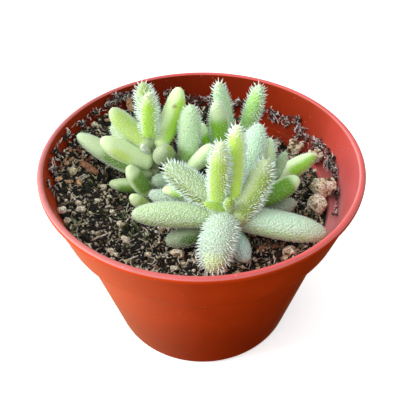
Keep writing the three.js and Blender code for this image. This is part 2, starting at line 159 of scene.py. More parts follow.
@dataclass
class Shape:
    """Points, faces and per-point values that become one piece.

    Faces are rows of four corners; a triangle repeats its last corner.
    """

    LUMP_SIZE = 0.6
    LUMP_SEED = 13
    SEAM_DECIMALS = 4

    points: list[Array] = field(default_factory=list)
    faces: list[Array] = field(default_factory=list)
    slots: list[Array] = field(default_factory=list)
    values: dict[str, list[Array]] = field(default_factory=dict)
    count: int = 0

    def add(self, points: Array, faces: Array, slot: int = 0, **values: Array) -> None:
        """Adds a surface.

        Args:
            points: places in millimetres, any shape with a last axis of three.
            faces: corners as indices into those points, rows of four.
            slot: index of the material.
            values: a number for each point, by attribute name.
        """
        flat = points.reshape(-1, 3)
        self.points.append(flat)
        self.faces.append(faces.reshape(-1, 4) + self.count)
        self.slots.append(np.full(len(self.faces[-1]), slot))
        for name in set(self.values) | set(values):
            given = np.broadcast_to(np.asarray(values.get(name, 0.0), float), points.shape[:-1])
            self.values.setdefault(name, [np.zeros(self.count)] if self.count else [])
            self.values[name].append(given.reshape(-1))
        self.count += len(flat)

    def spindles(
        self, rows: Array, side: Array, other: Array, wide: Array, thick: Array, ends: Array,
        sides: int, slot: int = 0, rough: float = 0.0, **values: Array,
    ) -> None:
        """Adds closed tubes: a ring point is its row's centre, wide cos(t) to the side, thick sin(t) over.

        Args:
            rows: centres, one row of points for each tube.
            side: unit direction to the side; with other and the way along, a right-handed frame.
            other: unit direction over.
            wide: half widths at each centre.
            thick: half thicknesses at each centre.
            ends: the two end points of each tube.
            sides: points in a ring.
            slot: index of the material.
            rough: depth of lumps, as a share of the girth.
            values: numbers by attribute name.
        """
        count, length = rows.shape[:2]
        turn = around(sides)[:, None]
        across = wide[..., None, None] * np.cos(turn) * side[..., None, :]
        over = thick[..., None, None] * np.sin(turn) * other[..., None, :]
        offset = across + over
        if rough:
            lumps = noise(rows[..., None, :] + offset, self.LUMP_SIZE, self.LUMP_SEED)
            offset = offset * (1 + rough * lumps)[..., None]
        rings = (rows[..., None, :] + offset).reshape(count, -1, 3)
        points = np.concatenate([rings, ends], axis=1)
        self.add(points, repeated(tube_faces(length, sides), points.shape[1], count), slot, **values)

    def piece(self, name: str, materials: list[Material], merge: bool = False) -> Object:
        """Writes the mesh, in metres, as an object that rides on the one body.

        Args:
            name: the object's name.
            materials: one for each slot.
            merge: joins points that lie in one place, as at the seams between patches.

        Returns:
            The new object.
        """
        points, faces = np.concatenate(self.points), np.concatenate(self.faces)
        values = {key: np.concatenate(parts) for key, parts in self.values.items()}
        if merge:
            rounded = np.round(points, self.SEAM_DECIMALS)
            _, first, inverse = np.unique(rounded, axis=0, return_index=True, return_inverse=True)
            points, faces = points[first], inverse.reshape(-1)[faces]
            values = {key: part[first] for key, part in values.items()}
        kept = np.ones(faces.shape, bool)
        kept[:, 3] = faces[:, 2] != faces[:, 3]
        sizes, corners = kept.sum(axis=1), faces[kept]
        mesh = bpy.data.meshes.new(name)
        mesh.vertices.add(len(points))
        mesh.vertices.foreach_set("co", (points * MM).astype(np.float32).ravel())
        mesh.loops.add(len(corners))
        mesh.loops.foreach_set("vertex_index", corners.astype(np.int32))
        mesh.polygons.add(len(faces))
        mesh.polygons.foreach_set("loop_start", (np.cumsum(sizes) - sizes).astype(np.int32))
        mesh.polygons.foreach_set("material_index", np.concatenate(self.slots).astype(np.int32))
        mesh.polygons.foreach_set("use_smooth", np.ones(len(faces), bool))
        mesh.update(calc_edges=True)
        mesh.validate()
        for key, part in values.items():
            mesh.attributes.new(key, "FLOAT", "POINT").data.foreach_set("value", part.astype(np.float32))
        for material in materials:
            mesh.materials.append(material)
        made = bpy.data.objects.new(name, mesh)
        bpy.context.scene.collection.objects.link(made)
        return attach(made, "root")


def grid_faces(rows: int, columns: int, closed: bool = True) -> Array:
    """Quads of a grid of points whose rows run round a form, seen from outside if the rows climb.

    Args:
        rows: number of rows.
        columns: points in each row.
        closed: joins each row's last point to its first.

    Returns:
        Rows of four corners.
    """
    steps = columns if closed else columns - 1
    row, column = np.meshgrid(np.arange(rows - 1), np.arange(steps), indexing="ij")
    following = (column + 1) % columns
    low, high = row * columns, (row + 1) * columns
    return np.stack([low + column, low + following, high + following, high + column], axis=-1).reshape(-1, 4)


def tube_faces(rows: int, sides: int) -> Array:
    """Quads and end fans of a tube given as rows of points, then its start point and its end point."""
    start, end = rows * sides, rows * sides + 1
    column = np.arange(sides)
    following = (column + 1) % sides
    last = (rows - 1) * sides
    first_fan = np.stack([np.full(sides, start), following, column, column], axis=-1)
    last_fan = np.stack([np.full(sides, end), last + column, last + following, last + following], axis=-1)
    return np.concatenate([grid_faces(rows, sides), first_fan, last_fan])


def repeated(faces: Array, points_each: int, copies: int) -> Array:
    """The faces of one form, for copies whose points follow one another."""
    return (faces[None] + points_each * np.arange(copies)[:, None, None]).reshape(-1, 4)


def cross_axes(along: Array) -> tuple[Array, Array]:
    """Two unit axes square to each direction and to each other."""
    helper = np.where(np.abs(along[..., 2:]) < NEARLY_UP, UP, [1.0, 0.0, 0.0])
    side = unit(np.cross(along, helper))
    return side, np.cross(along, side)


def arcs(
    start: Array, along: Array, across: Array, length: Array, bend: Array, t: Array
) -> tuple[Array, Array, Array]:
    """Arcs of circles: a length L that turns by k goes L sin(k t)/k along and L (1 - cos(k t))/k across.

    Args:
        start: a point for each arc, at t = 0.
        along: its direction there.
        across: the direction it turns to.
        length: lengths, as a column.
        bend: turns in radians, as a column.
        t: shares of the length, as a row.

    Returns:
        Points, the direction on at each, and the direction to the inside of the bend.
    """
    along, across = along[:, None], across[:, None]
    sine, cosine = np.sin(bend * t), np.cos(bend * t)
    points = start[:, None] + (length * sine / bend)[..., None] * along
    points = points + (length * (1 - cosine) / bend)[..., None] * across
    sine, cosine = sine[..., None], cosine[..., None]
    return points, cosine * along + sine * across, cosine * across - sine * along


# Materials


def node(tree: NodeTree, kind: str, inputs: dict | None = None, **settings: object) -> Node:
    """Adds a node with its settings and links.

    Args:
        tree: where the node goes.
        kind: Blender's name of the node's type, without ShaderNode.
        inputs: by socket, a value, an sRGB hex colour, the name of a number that the piece's points
            carry, an output, or a node for its first output in use.
        settings: its own properties; stops are a colour ramp's places and hex colours. Mix mixes colours.

    Returns:
        The node.
    """
    made = tree.nodes.new(f"ShaderNode{kind}")
    if kind == "Mix":
        made.data_type = "RGBA"
    stops = settings.pop("stops", {})
    for key, value in settings.items():
        setattr(made, key, value)
    for key, value in (inputs or {}).items():
        if isinstance(value, str) and value[0] != "#":
            value = node(tree, "Attribute", attribute_name=value).outputs["Fac"]
        if isinstance(value, Node):
            value = next(output for output in value.outputs if output.enabled)
        if isinstance(value, NodeSocket):
            tree.links.new(value, made.inputs[key])
        else:
            made.inputs[key].default_value = linear(value) if isinstance(value, str) else value
    while stops and len(made.color_ramp.elements) < len(stops):
        made.color_ramp.elements.new(0.5)
    for index, (place, colour) in enumerate(stops.items()):
        element = made.color_ramp.elements[index]
        element.position, element.color = place, linear(colour)
    return made


def per_metre(size: float) -> float:
    """A texture's scale for a pattern of this size in millimetres."""
    return 1 / (size * MM)


@dataclass(frozen=True)
class Coat:
    """What all finishes share: a name, and a Principled shader whose sockets each kind works out."""

    name: str

    def sockets(self, tree: NodeTree, place: NodeSocket) -> dict[str, object]:
        """The Principled shader's sockets.

        Args:
            tree: where the nodes go.
            place: the Object coordinates that patterns read.

        Returns:
            Values, outputs or nodes by socket.
        """
        raise NotImplementedError

    def material(self) -> Material:
        """Makes the material."""
        material = bpy.data.materials.new(self.name)
        material.use_nodes = True
        tree = material.node_tree
        tree.nodes.clear()
        place = node(tree, "TexCoord").outputs["Object"]
        node(tree, "OutputMaterial", {"Surface": node(tree, "BsdfPrincipled", self.sockets(tree, place))})
        return material


@dataclass(frozen=True)
class Polypropylene(Coat):
    """Injection-moulded polypropylene, terracotta coloured: a satin, slightly waxy skin.

    Light goes a little way in, so the thin lip glows. One attribute paints a pink highlight on the
    lip's top and on the collar's inside at the right, where the light falls; a second paints paler
    glints and reflections along the lip's edges, at its left and back and near the ledge; a third
    paints shade on the inner wall away from the light, on the foot outside and on the lip at the
    left, and takes gloss away there. Dust specks lie 2.2 mm apart and are coarser than life, so
    that they show.
    """

    name: str = "injection_moulded_polypropylene"
    wall: str = "#D2420E"
    # the pink of the painted highlight, the pale pink of the painted glints, the dark red of the painted
    # shade
    bleached: str = "#CC5151"
    chalky: str = "#DEAAAE"
    stained: str = "#76210D"
    grain: float = 0.35
    grain_depth: float = 0.05
    cloud: float = 9.0
    speck: float = 2.2
    light_depth: float = 2.0

    def sockets(self, tree: NodeTree, place: NodeSocket) -> dict[str, object]:
        """Wall colour under the painted highlight, glints and shade, clouded and dusted; see Coat for the
        rest.
        """
        cloud = node(tree, "TexNoise", {"Vector": place, "Scale": per_metre(self.cloud), "Detail": 4.0})
        grain = node(tree, "TexNoise", {"Vector": place, "Scale": per_metre(self.grain), "Detail": 2.0})
        specks = node(tree, "TexVoronoi", {"Vector": place, "Scale": per_metre(self.speck)})
        stain = node(tree, "Attribute", attribute_name="stain").outputs["Fac"]
        tone = self.wall
        # painted highlight, painted glints and painted shade, mixed over the wall colour in turn
        for share, colour in (("bleach", self.bleached), ("bloom", self.chalky), (stain, self.stained)):
            tone = node(tree, "Mix", {0: share, MIX_A: tone, MIX_B: colour})
        shade = node(tree, "ValToRGB", {"Fac": cloud}, stops={0.3: "#F0ECEA", 0.7: "#FFFFFF"})
        clouded = node(tree, "Mix", {0: 1.0, MIX_A: tone, MIX_B: shade}, blend_type="MULTIPLY")
        dust = node(tree, "ValToRGB", {"Fac": specks}, stops={0.04: "#E9C8BC", 0.09: "#000000"})
        bump = {"Height": grain, "Strength": 0.12, "Distance": self.grain_depth * MM}
        return {
            "Base Color": node(tree, "Mix", {0: 0.3, MIX_A: clouded, MIX_B: dust}, blend_type="ADD"),
            "Roughness": node(tree, "MapRange", {"Value": cloud, "To Min": 0.36, "To Max": 0.5}),
            "IOR": 1.49,
            # less gloss where shade is painted
            "Specular IOR Level": node(tree, "MapRange", {"Value": stain, "To Min": 0.3, "To Max": 0.02}),
            "Specular Tint": "#FFF0CC",
            "Sheen Weight": 0.22,
            "Sheen Roughness": 0.14,
            "Sheen Tint": "#FFE6B8",
            "Subsurface Weight": 0.1,
            "Subsurface Radius": (1.0, 0.25, 0.06),
            "Subsurface Scale": self.light_depth * MM,
            "Normal": node(tree, "Bump", bump),
        }


@dataclass(frozen=True)
class PeatMix(Coat):
    """Damp peat with composted bark: nearly black crumbs, some brown, and olive patches of algae.

    Each crumb's own shade comes from the crumb attribute, darker between the crumbs as painted
    shade, the algae from the moss attribute, and a fine fleck adds dust.
    """

    name: str = "damp_peat_and_bark_mix"
    fleck: float = 0.45
    fleck_depth: float = 0.2

    def sockets(self, tree: NodeTree, place: NodeSocket) -> dict[str, object]:
        """Brown and olive ramps of the crumb's shade, mixed by moss; see Coat for Args and Returns."""
        brown = {0.0: "#070604", 0.5: "#0E0B08", 0.62: "#261D14", 0.72: "#60492F"}
        brown |= {0.81: "#B49B78", 0.9: "#E8DABC", 1.0: "#FFF8EA"}
        olive = {0.0: "#080A05", 0.45: "#12180C", 0.68: "#36421F", 0.83: "#6E7A4C"}
        olive |= {0.94: "#B2B78C", 1.0: "#E0E0C4"}
        crumb = node(tree, "Attribute", attribute_name="crumb").outputs["Fac"]
        browned, greened = (node(tree, "ValToRGB", {"Fac": crumb}, stops=stops) for stops in (brown, olive))
        tone = node(tree, "Mix", {0: "moss", MIX_A: browned, MIX_B: greened})
        fleck = node(tree, "TexNoise", {"Vector": place, "Scale": per_metre(self.fleck), "Detail": 3.0})
        dust = node(tree, "ValToRGB", {"Fac": fleck}, stops={0.55: "#000000", 0.72: "#8C8168"})
        bump = {"Height": fleck, "Strength": 0.6, "Distance": self.fleck_depth * MM}
        return {
            "Base Color": node(tree, "Mix", {0: 0.3, MIX_A: tone, MIX_B: dust}, blend_type="ADD"),
            "Roughness": 0.85,
            "Normal": node(tree, "Bump", bump),
        }


@dataclass(frozen=True)
class LeafSkin(Coat):
    """Skin of a watery leaf: pale where it holds little green, green in its stripe, downy at its edges.

    The stripe attribute says how green a place is, shade how light its leaf is among others of its
    skin, partly its own tone and partly painted light and shade, and scar how brown a place is. Small
    pale warts stand between the bristles, and light goes about a millimetre into the tissue.
    """

    pale: str
    green: str
    scar: str = "#8A5B3A"
    frost: str = "#FAFFF6"
    frosting: float = 0.5
    down: float = 0.2
    wart: float = 0.5
    wart_height: float = 0.6
    mottle: float = 2.6
    light_depth: float = 1.2

    def sockets(self, tree: NodeTree, place: NodeSocket) -> dict[str, object]:
        """Pale to green by the stripe and a mottle, shaded, frosted on warts; see Coat for the rest."""
        mottle = node(tree, "TexNoise", {"Vector": place, "Scale": per_metre(self.mottle), "Detail": 4.0})
        uneven = node(tree, "MapRange", {"Value": mottle, "To Min": -0.28, "To Max": 0.28})
        share = node(tree, "Math", {0: "stripe", 1: uneven}, operation="ADD", use_clamp=True)
        tone = node(tree, "ValToRGB", {"Fac": share}, stops={0.1: self.pale, 0.9: self.green})
        warts = node(tree, "TexVoronoi", {"Vector": place, "Scale": per_metre(self.wart)})
        limits = {"From Min": 0.1, "From Max": 0.45, "To Min": self.frosting, "To Max": 0.0}
        frosting = node(tree, "MapRange", {"Value": warts, **limits})
        # the leaf's shade multiplies its colour: partly its own tone, partly painted light and shade
        shade = node(tree, "Attribute", attribute_name="shade").outputs["Color"]
        shaded = node(tree, "Mix", {0: 1.0, MIX_A: tone, MIX_B: shade}, blend_type="MULTIPLY")
        frosted = node(tree, "Mix", {0: frosting, MIX_A: shaded, MIX_B: self.frost})
        scarred = {0: "scar", MIX_A: frosted, MIX_B: self.scar}
        bump = {"Height": warts, "Strength": 0.9, "Distance": self.wart_height * self.frosting * MM}
        return {
            "Base Color": node(tree, "Mix", scarred),
            "Roughness": 0.5,
            "IOR": 1.4,
            "Subsurface Weight": 0.2,
            "Subsurface Radius": (1.0, 1.0, 0.45),
            "Subsurface Scale": self.light_depth * MM,
            "Sheen Weight": self.down,
            "Sheen Roughness": 0.45,
            "Normal": node(tree, "Bump", bump, invert=True),
        }


@dataclass(frozen=True)
class BristleCell(Coat):
    """Empty bladder cells drawn out to a bristle: clear skin round air, so they read as white."""

    name: str = "leaf_bristle"
    colour: str = "#ECFFF6"
    shaded: str = "#E0F8EC"
    grain: float = 0.8

    def sockets(self, tree: NodeTree, place: NodeSocket) -> dict[str, object]:
        """White with a faint grain; see Coat for Args and Returns."""
        grain = node(tree, "TexNoise", {"Vector": place, "Scale": per_metre(self.grain)})
        return {
            "Base Color": node(tree, "ValToRGB", {"Fac": grain}, stops={0.3: self.shaded, 0.6: self.colour}),
            "Roughness": 0.35,
            "Sheen Weight": 0.4,
        }


@dataclass(frozen=True)
class Grained(Coat):
    """A dry, rough natural surface whose loose bits each have a tint between a few colours."""

    colours: tuple[str, ...]
    grain: float
    relief: float
    roughness: float = 0.9

    def sockets(self, tree: NodeTree, place: NodeSocket) -> dict[str, object]:
        """The tint's colour, darker in the grain's hollows as painted shade; see Coat for Args and Returns.
        """
        stops = {i / (len(self.colours) - 1): colour for i, colour in enumerate(self.colours)}
        tone = node(tree, "ValToRGB", {"Fac": "tint"}, stops=stops)
        grain = node(tree, "TexNoise", {"Vector": place, "Scale": per_metre(self.grain), "Detail": 3.0})
        # darker where the grain's bump is low: painted shade in the hollows
        shade = node(tree, "ValToRGB", {"Fac": grain}, stops={0.32: "#857B74", 0.6: "#FFFFFF"})
        shaded = {0: 1.0, MIX_A: tone, MIX_B: shade}
        bump = {"Height": grain, "Strength": 0.8, "Distance": self.relief * MM}
        return {
            "Base Color": node(tree, "Mix", shaded, blend_type="MULTIPLY"),
            "Roughness": self.roughness,
            "Normal": node(tree, "Bump", bump),
        }


@dataclass(frozen=True)
class WhitePaint(Coat):
    """Matt white paint on the sweep, rolled: a very faint stipple, and lit a little from behind."""

    name: str = "matt_white_paint"
    colour: str = "#F8F8F8"
    hollow: str = "#F4F4F4"
    stipple: float = 3.0
    glow: float = 0.45

    def sockets(self, tree: NodeTree, place: NodeSocket) -> dict[str, object]:
        """White with its stipple and its glow; see Coat for Args and Returns."""
        stipple = node(tree, "TexNoise", {"Vector": place, "Scale": per_metre(self.stipple)})
        stops = {0.3: self.hollow, 0.7: self.colour}
        return {
            "Base Color": node(tree, "ValToRGB", {"Fac": stipple}, stops=stops),
            "Roughness": 0.9,
            "Emission Color": "#FFFFFF",
            "Emission Strength": self.glow,
        }


class Finish(Enum):
    """The finishes of all that isn't leaf. Pumice is a pale rock froth, and bark is flaky and reddish."""

    POT = Polypropylene()
    MIX = PeatMix()
    BRISTLE = BristleCell()
    PUMICE = Grained("porous_pumice", ("#664A2E", "#F0DEB8", "#FFF8E2"), 0.5, 0.25)
    GRIT = Grained("perlite_and_pumice_grit", ("#705C42", "#D0BE9A", "#FFFCF2"), 0.6, 0.15)
    CLOD = Grained("peat_clod", ("#120F0C", "#33271E", "#7A6450"), 0.6, 0.2)
    BARK = Grained("composted_pine_bark", ("#3A1E14", "#8E5A42", "#E4B48A"), 0.6, 0.2)
    FIBRE = Grained("peat_fibre", ("#3C2C1E", "#BCAA8A", "#FFFAEE"), 0.8, 0.05, 0.6)
    ROOTLET = Grained("dried_rootlets", ("#2A0E0A", "#8A5E56", "#FFFCFA"), 0.8, 0.08, 0.45)
    STEM = Grained("succulent_stem_skin", ("#7E8A5C", "#95A078", "#A8B090"), 0.9, 0.12, 0.65)
    SWEEP = WhitePaint()
    DOME = WhitePaint("white_studio_dome", glow=1.0)


class Skin(Enum):
    """The variegations that the leaves show."""

    MILKY = LeafSkin("milky_leaf_skin", "#E6F6DE", "#A4D450", frosting=0.6)
    PALE = LeafSkin("pale_variegated_leaf_skin", "#B0C9B0", "#CCE6A0", frosting=0.85)
    CREAM = LeafSkin("cream_variegated_leaf_skin", "#BCD2A0", "#AECB68", frosting=0.2)
    SPECKLED = LeafSkin("speckled_variegated_leaf_skin", "#B0CC98", "#A0BC50", frosting=0.85)
    HAZY = LeafSkin("two_toned_leaf_skin", "#C2DCA2", "#8CA42A", frosting=0.6)
    YOUNG = LeafSkin("young_leaf_skin", "#C8E478", "#A0CC34", frosting=0.3)
    MINT = LeafSkin("mint_variegated_leaf_skin", "#B4D4A6", "#98CA68", frosting=0.5)
    BLUISH = LeafSkin("bluish_variegated_leaf_skin", "#ACCEB0", "#9CCC80", frosting=0.75)
    LIME = LeafSkin("lime_variegated_leaf_skin", "#D2E8AC", "#A6CA4C", frosting=0.3)
    FRESH = LeafSkin("fresh_variegated_leaf_skin", "#CAE0A8", "#A2D03C", frosting=0.2)
    MARGINED = LeafSkin("white_margined_leaf_skin", "#C4DAA8", "#6A9632", frosting=0.15)
    LEAFY = LeafSkin("green_leaf_skin", "#C8DEB0", "#80BC14", frosting=0.25)
    OLIVE = LeafSkin("olive_leaf_skin", "#C4E0B0", "#5E9416", frosting=0.2)
    GLAUCOUS = LeafSkin("glaucous_leaf_skin", "#B4E8DC", "#8CC8A0", frosting=0.7)
    GREY = LeafSkin("grey_green_leaf_skin", "#9CB896", "#7A9A60", frosting=0.5)


class Hair(Enum):
    """Bristle growths: length and spacing in millimetres, and how many rows of points one has."""

    LONG = (1.6, 0.8, 3)
    DENSE = (1.4, 0.62, 3)
    MEDIUM = (0.95, 0.74, 3)
    DOWN = (0.6, 0.46, 2)
    SHORT = (0.48, 0.62, 2)
    FRINGE = (0.5, 1.0, 2)
    SPARSE = (0.24, 1.2, 2)


# The plant


@dataclass(frozen=True)
class StemPlan:
    """A stem: the three points of its quadratic curve, and its radius at the tip."""

    foot: Triple
    bend: Triple
    tip: Triple
    radius: float

    FOOT_SWELL = 0.12

    def at(self, share: Array) -> Array:
        """Place on the curve: (1-t) squared foot, 2t(1-t) bend, t squared tip."""
        t = np.asarray(share, float)[..., None]
        foot, bend, tip = (np.array(point) for point in (self.foot, self.bend, self.tip))
        return (1 - t) ** 2 * foot + 2 * t * (1 - t) * bend + t**2 * tip

    def along(self, share: Array) -> Array:
        """Direction of the curve: (1-t)(bend - foot) and t(tip - bend)."""
        t = np.asarray(share, float)[..., None]
        foot, bend, tip = (np.array(point, float) for point in (self.foot, self.bend, self.tip))
        return unit((1 - t) * (bend - foot) + t * (tip - bend))

    def radius_at(self, share: Array) -> Array:
        """Radius, an eighth more at the foot than at the tip."""
        return self.radius * (1 + self.FOOT_SWELL * (1 - share))


STEMS = {
    "main": StemPlan((8, -13, 40), (7, -17, 49), (6.8, -18.2, 59), 1.5),
    "inner": StemPlan((2.5, -9.5, 40), (2.5, -9, 48), (1.5, -9, 55), 1.2),
    "right": StemPlan((13, -12, 40), (14, -11.5, 48), (15.5, -10, 54), 1.3),
    "slim": StemPlan((17.5, -1.5, 40), (18.5, -1.5, 50), (19.5, -3, 57), 1),
    "back": StemPlan((4.5, 11, 40), (5, 11.5, 48), (4.5, 12, 56), 1.3),
    "rear": StemPlan((9.5, 16, 40), (10, 17, 48), (10.5, 17.5, 56.5), 1.3),
    "middle": StemPlan((-3.5, 2.5, 40), (-4.5, 3.5, 48), (-5, 3.5, 55), 1.3),
    "left": StemPlan((-12, -1, 40), (-14.5, 3, 50), (-14.2, 8.5, 60), 1.4),
    "low": StemPlan((-15, -7, 40), (-15, -6, 45), (-15.5, -4.5, 49), 1.2),
}


@dataclass
class Stem:
    """A stem as it shows: a soft skin with a low ring at each pair of leaf scars."""

    name: str
    plan: StemPlan
    rows: int = 40
    sides: int = 20
    node_spacing: float = 3.6
    node_swell: float = 0.07
    node_sharpness: int = 5
    tip_taper: tuple[float, ...] = (1.0, 0.94, 0.8, 0.55)
    tip_dome: float = 0.5
    lumps: float = 0.05
    tint: float = 0.5
    tint_range: float = 0.4

    def build(self, material: Material) -> Object:
        """Makes the piece: circles along the curve, swollen at each pair of scars by a power of a cosine."""
        share = np.linspace(0, 1, self.rows)
        centre, along = self.plan.at(share), self.plan.along(share)
        side = unit(np.cross(along, [1.0, 0, 0]))
        travelled = np.linalg.norm(centre - centre[0], axis=1)
        swell = 1 + self.node_swell * np.cos(TURN * travelled / self.node_spacing) ** self.node_sharpness
        radius = self.plan.radius_at(share) * swell
        radius[-len(self.tip_taper) :] *= np.array(self.tip_taper)
        ends = np.array([centre[0], centre[-1] + self.tip_dome * self.plan.radius * along[-1]])
        rows = [part[None] for part in (centre, side, np.cross(along, side), radius, radius, ends)]
        tint = self.tint + self.tint_range * math.sin(self.plan.foot[0])
        shape = Shape()
        shape.spindles(*rows, self.sides, rough=self.lumps, tint=tint)
        made = shape.piece(f"stem_{self.name}_skin", [material])
        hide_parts(f"stem_{self.name}")
        return made


@dataclass(frozen=True)
class LeafPlan:
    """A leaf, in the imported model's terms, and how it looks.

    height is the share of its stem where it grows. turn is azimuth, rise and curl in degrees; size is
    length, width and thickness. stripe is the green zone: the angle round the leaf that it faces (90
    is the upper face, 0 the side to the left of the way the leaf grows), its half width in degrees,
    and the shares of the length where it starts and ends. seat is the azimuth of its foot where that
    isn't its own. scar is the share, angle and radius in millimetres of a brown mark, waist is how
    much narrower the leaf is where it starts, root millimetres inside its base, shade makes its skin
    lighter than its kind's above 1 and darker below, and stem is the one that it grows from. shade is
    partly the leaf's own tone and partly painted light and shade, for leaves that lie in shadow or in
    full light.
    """

    height: float
    turn: Triple
    size: Triple
    skin: Skin
    hair: Hair
    stripe: tuple[float, float, float, float] = (90, 60, 0.0, 0.7)
    seat: float | None = None
    scar: Triple | None = None
    waist: float = 0.24
    root: float = 1.8
    shade: float = 1.0
    stem: str = ""

    NECK = 0.34
    WAIST_FADE = 4
    TIP_POWER = 5
    PLUMPEST = 0.96
    ROUNDING = 1.8
    UPPER_FACE_HEIGHT = 0.88
    TIP_DOME = 0.4
    TIP_START = 0.86
    GAP = 0.3
    STRIPE_BLUR = 26
    STRIPE_FADES = (0.12, 0.14)
    SCAR_DEPTH = 0.8
    SCAR_CORE = 0.3

    @property
    def start(self) -> float:
        """Share of the length at which the skin starts, mostly below nothing, inside the stem."""
        return -self.root / self.size[0]

    def fullness(self, share: Array) -> Array:
        """Half width as a share of its most.

        It is the root of 1 - s to the 5th, times 1 - w (1-s) to the 4th, over 0.96, w being the
        waist, and it opens as a quarter of an ellipse from where the skin starts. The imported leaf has
        the same belly, with a slimmer foot and point: its bases may not overlap, while real ones
        crowd round the stem.
        """
        on = np.clip(share, 0, 1)
        body = np.sqrt(1 - on**self.TIP_POWER) * (1 - self.waist * (1 - on) ** self.WAIST_FADE)
        opening = np.clip((share - self.start) * self.size[0] / self.ROUNDING, 0, 1)
        return body * np.sqrt(1 - (1 - opening) ** 2) / self.PLUMPEST

    def base(self) -> Array:
        """Where the neck meets the stem, clear of the stem's skin."""
        stem = STEMS[self.stem]
        azimuth, rise, _ = self.turn
        seat = math.radians(azimuth if self.seat is None else self.seat)
        tilt = abs(math.sin(math.radians(rise)))
        reach = stem.radius_at(self.height) + self.GAP + 0.5 * self.NECK * self.size[1] * tilt
        return stem.at(np.array(self.height)) + reach * np.array([math.cos(seat), math.sin(seat), 0])

    def surface(self, share: Array, angle: Array) -> Array:
        """The leaf's skin: an ellipse, flatter above, carried along a midline that turns evenly.

        The midline from 0 to s, of a heading that climbs from a by b s, is s sinc(b s/2) times the
        heading at a + b s/2.

        Args:
            share: share of the length, 0 to 1.
            angle: angle round the leaf in radians, a quarter turn on the upper face.

        Returns:
            Places in millimetres.
        """
        azimuth, rise, curl = (math.radians(v) for v in self.turn)
        length, width, thickness = self.size
        level = np.array([math.cos(azimuth), math.sin(azimuth), 0])
        sideways = np.array([-math.sin(azimuth), math.cos(azimuth), 0])
        middle = rise + curl * share / 2
        travelled = (length * share * np.sinc(curl * share / 2 / math.pi))[..., None]
        midline = np.cos(middle)[..., None] * level + np.sin(middle)[..., None] * UP
        midline = self.base() + travelled * midline
        climb = (rise + curl * share)[..., None]
        heading = np.cos(climb) * level + np.sin(climb) * UP
        over = np.cross(heading, sideways)
        rise_over = np.sin(angle)[..., None]
        rise_over = np.where(rise_over > 0, self.UPPER_FACE_HEIGHT, 1.0) * rise_over
        dome = self.TIP_DOME * smoothstep(share, self.TIP_START, 1.0)[..., None] * heading
        ellipse = 0.5 * width * np.cos(angle)[..., None] * sideways + 0.5 * thickness * rise_over * over
        return midline + dome + self.fullness(share)[..., None] * ellipse

    def green(self, share: Array, angle: Array) -> Array:
        """How green each place is: a soft-edged zone round one face, between two shares of the length."""
        face, half, start, end = self.stripe
        blur, (near, far) = self.STRIPE_BLUR, self.STRIPE_FADES
        round_it = 1 - smoothstep(np.degrees(apart(angle, math.radians(face))), half - blur, half + blur)
        along = smoothstep(share, start - near, start + near) * (1 - smoothstep(share, end - far, end + far))
        return round_it * along

    def scarred(self, points: Array) -> Array:
        """How brown each place is: full at the scar's centre, none past its radius."""
        if self.scar is None:
            return np.zeros(points.shape[:-1])
        share, angle, radius = self.scar
        away = np.linalg.norm(points - self.surface(np.array(share), np.radians(angle)), axis=-1)
        return self.SCAR_DEPTH * (1 - smoothstep(away, self.SCAR_CORE * radius, radius))


# shade= is partly a leaf's own tone and partly painted light and shade, where it lies in shadow or in light
LEAF_GROUPS = {}  # leaves by stem, in the order of their numbers; stem= grows one from another
LEAF_GROUPS["main"] = [
    LeafPlan(0.86, (255, -2, -34), (16.2, 8.2, 6.8), Skin.PALE, Hair.LONG, (40, 90, 0.8, 1.3), shade=1.1),
    LeafPlan(0.72, (181, 7, -8), (23, 7.4, 6.8), Skin.SPECKLED, Hair.SHORT, (325, 40, 0.1, 1.1), shade=1.02),
    LeafPlan(0.72, (348, 1, -8), (24, 7.8, 7.4), Skin.BLUISH, Hair.SHORT, (215, 50, 0.2, 0.95), shade=1.18),
    LeafPlan(
        0.9, (147, 14, 10), (18, 7.2, 6.6), Skin.HAZY, Hair.LONG, (345, 44, 0, 0.95), waist=0.4, shade=0.68
    ),
    LeafPlan(1.0, (77, 77, 6), (17, 5, 4.8), Skin.LIME, Hair.DENSE, (90, 60, 0, 0.8), 172, shade=1.1),
    LeafPlan(1.0, (88, 66, 8), (19.2, 4.7, 4.5), Skin.LIME, Hair.DENSE, (75, 70, 0, 0.9), 46, shade=1.65),
    LeafPlan(0.88, (63, 28, 12), (23, 7.6, 5.6), Skin.BLUISH, Hair.MEDIUM, (270, 50, 0, 1), 85, shade=1.25),
    LeafPlan(
        0.85, (38, 28, 50), (16.5, 6.8, 6.2), Skin.LIME, Hair.LONG,
        (180, 70, 0, 0.86), 325, waist=-0.12, shade=0.72,
    ),
    LeafPlan(0.5, (291, 0, -20), (10.5, 5.8, 5.2), Skin.GLAUCOUS, Hair.SPARSE, (0, 60, 0, 0.5), shade=1.28),
    LeafPlan(0.43, (200, 5, -5), (15.5, 6.4, 5.4), Skin.OLIVE, Hair.SHORT, (330, 90, 0, 0.8), shade=0.45),
    LeafPlan(0.97, (180, 18, 10), (5, 2.7, 2.5), Skin.YOUNG, Hair.DOWN, (90, 180, -1, 2), 236, shade=0.95),
    LeafPlan(1.0, (260, 76, 0), (4.4, 2.8, 2.6), Skin.YOUNG, Hair.DOWN, (90, 180, -1, 2), 284, shade=0.68),
    LeafPlan(0.55, (97, 12, 10), (14, 5.4, 5), Skin.GREY, Hair.SHORT),
]
LEAF_GROUPS["inner"] = [
    LeafPlan(0.6, (170, 10, 0), (15.5, 5.8, 5), Skin.PALE, Hair.SHORT, (330, 60, 0, 0.5), 190),
    LeafPlan(1.0, (176, 2, 0), (10.5, 4.4, 4), Skin.FRESH, Hair.SHORT, (40, 90, 0.2, 0.75), 205),
]
LEAF_GROUPS["right"] = [
    LeafPlan(
        0.95, (26, 13, 12), (11, 6, 5.4), Skin.OLIVE, Hair.FRINGE, (170, 100, -0.2, 0.82), 350, shade=1.2
    ),
    LeafPlan(0.5, (19, 12, 6), (11, 5.2, 4.6), Skin.PALE, Hair.SHORT, (180, 60, 0, 0.3), 350, shade=0.9),
]
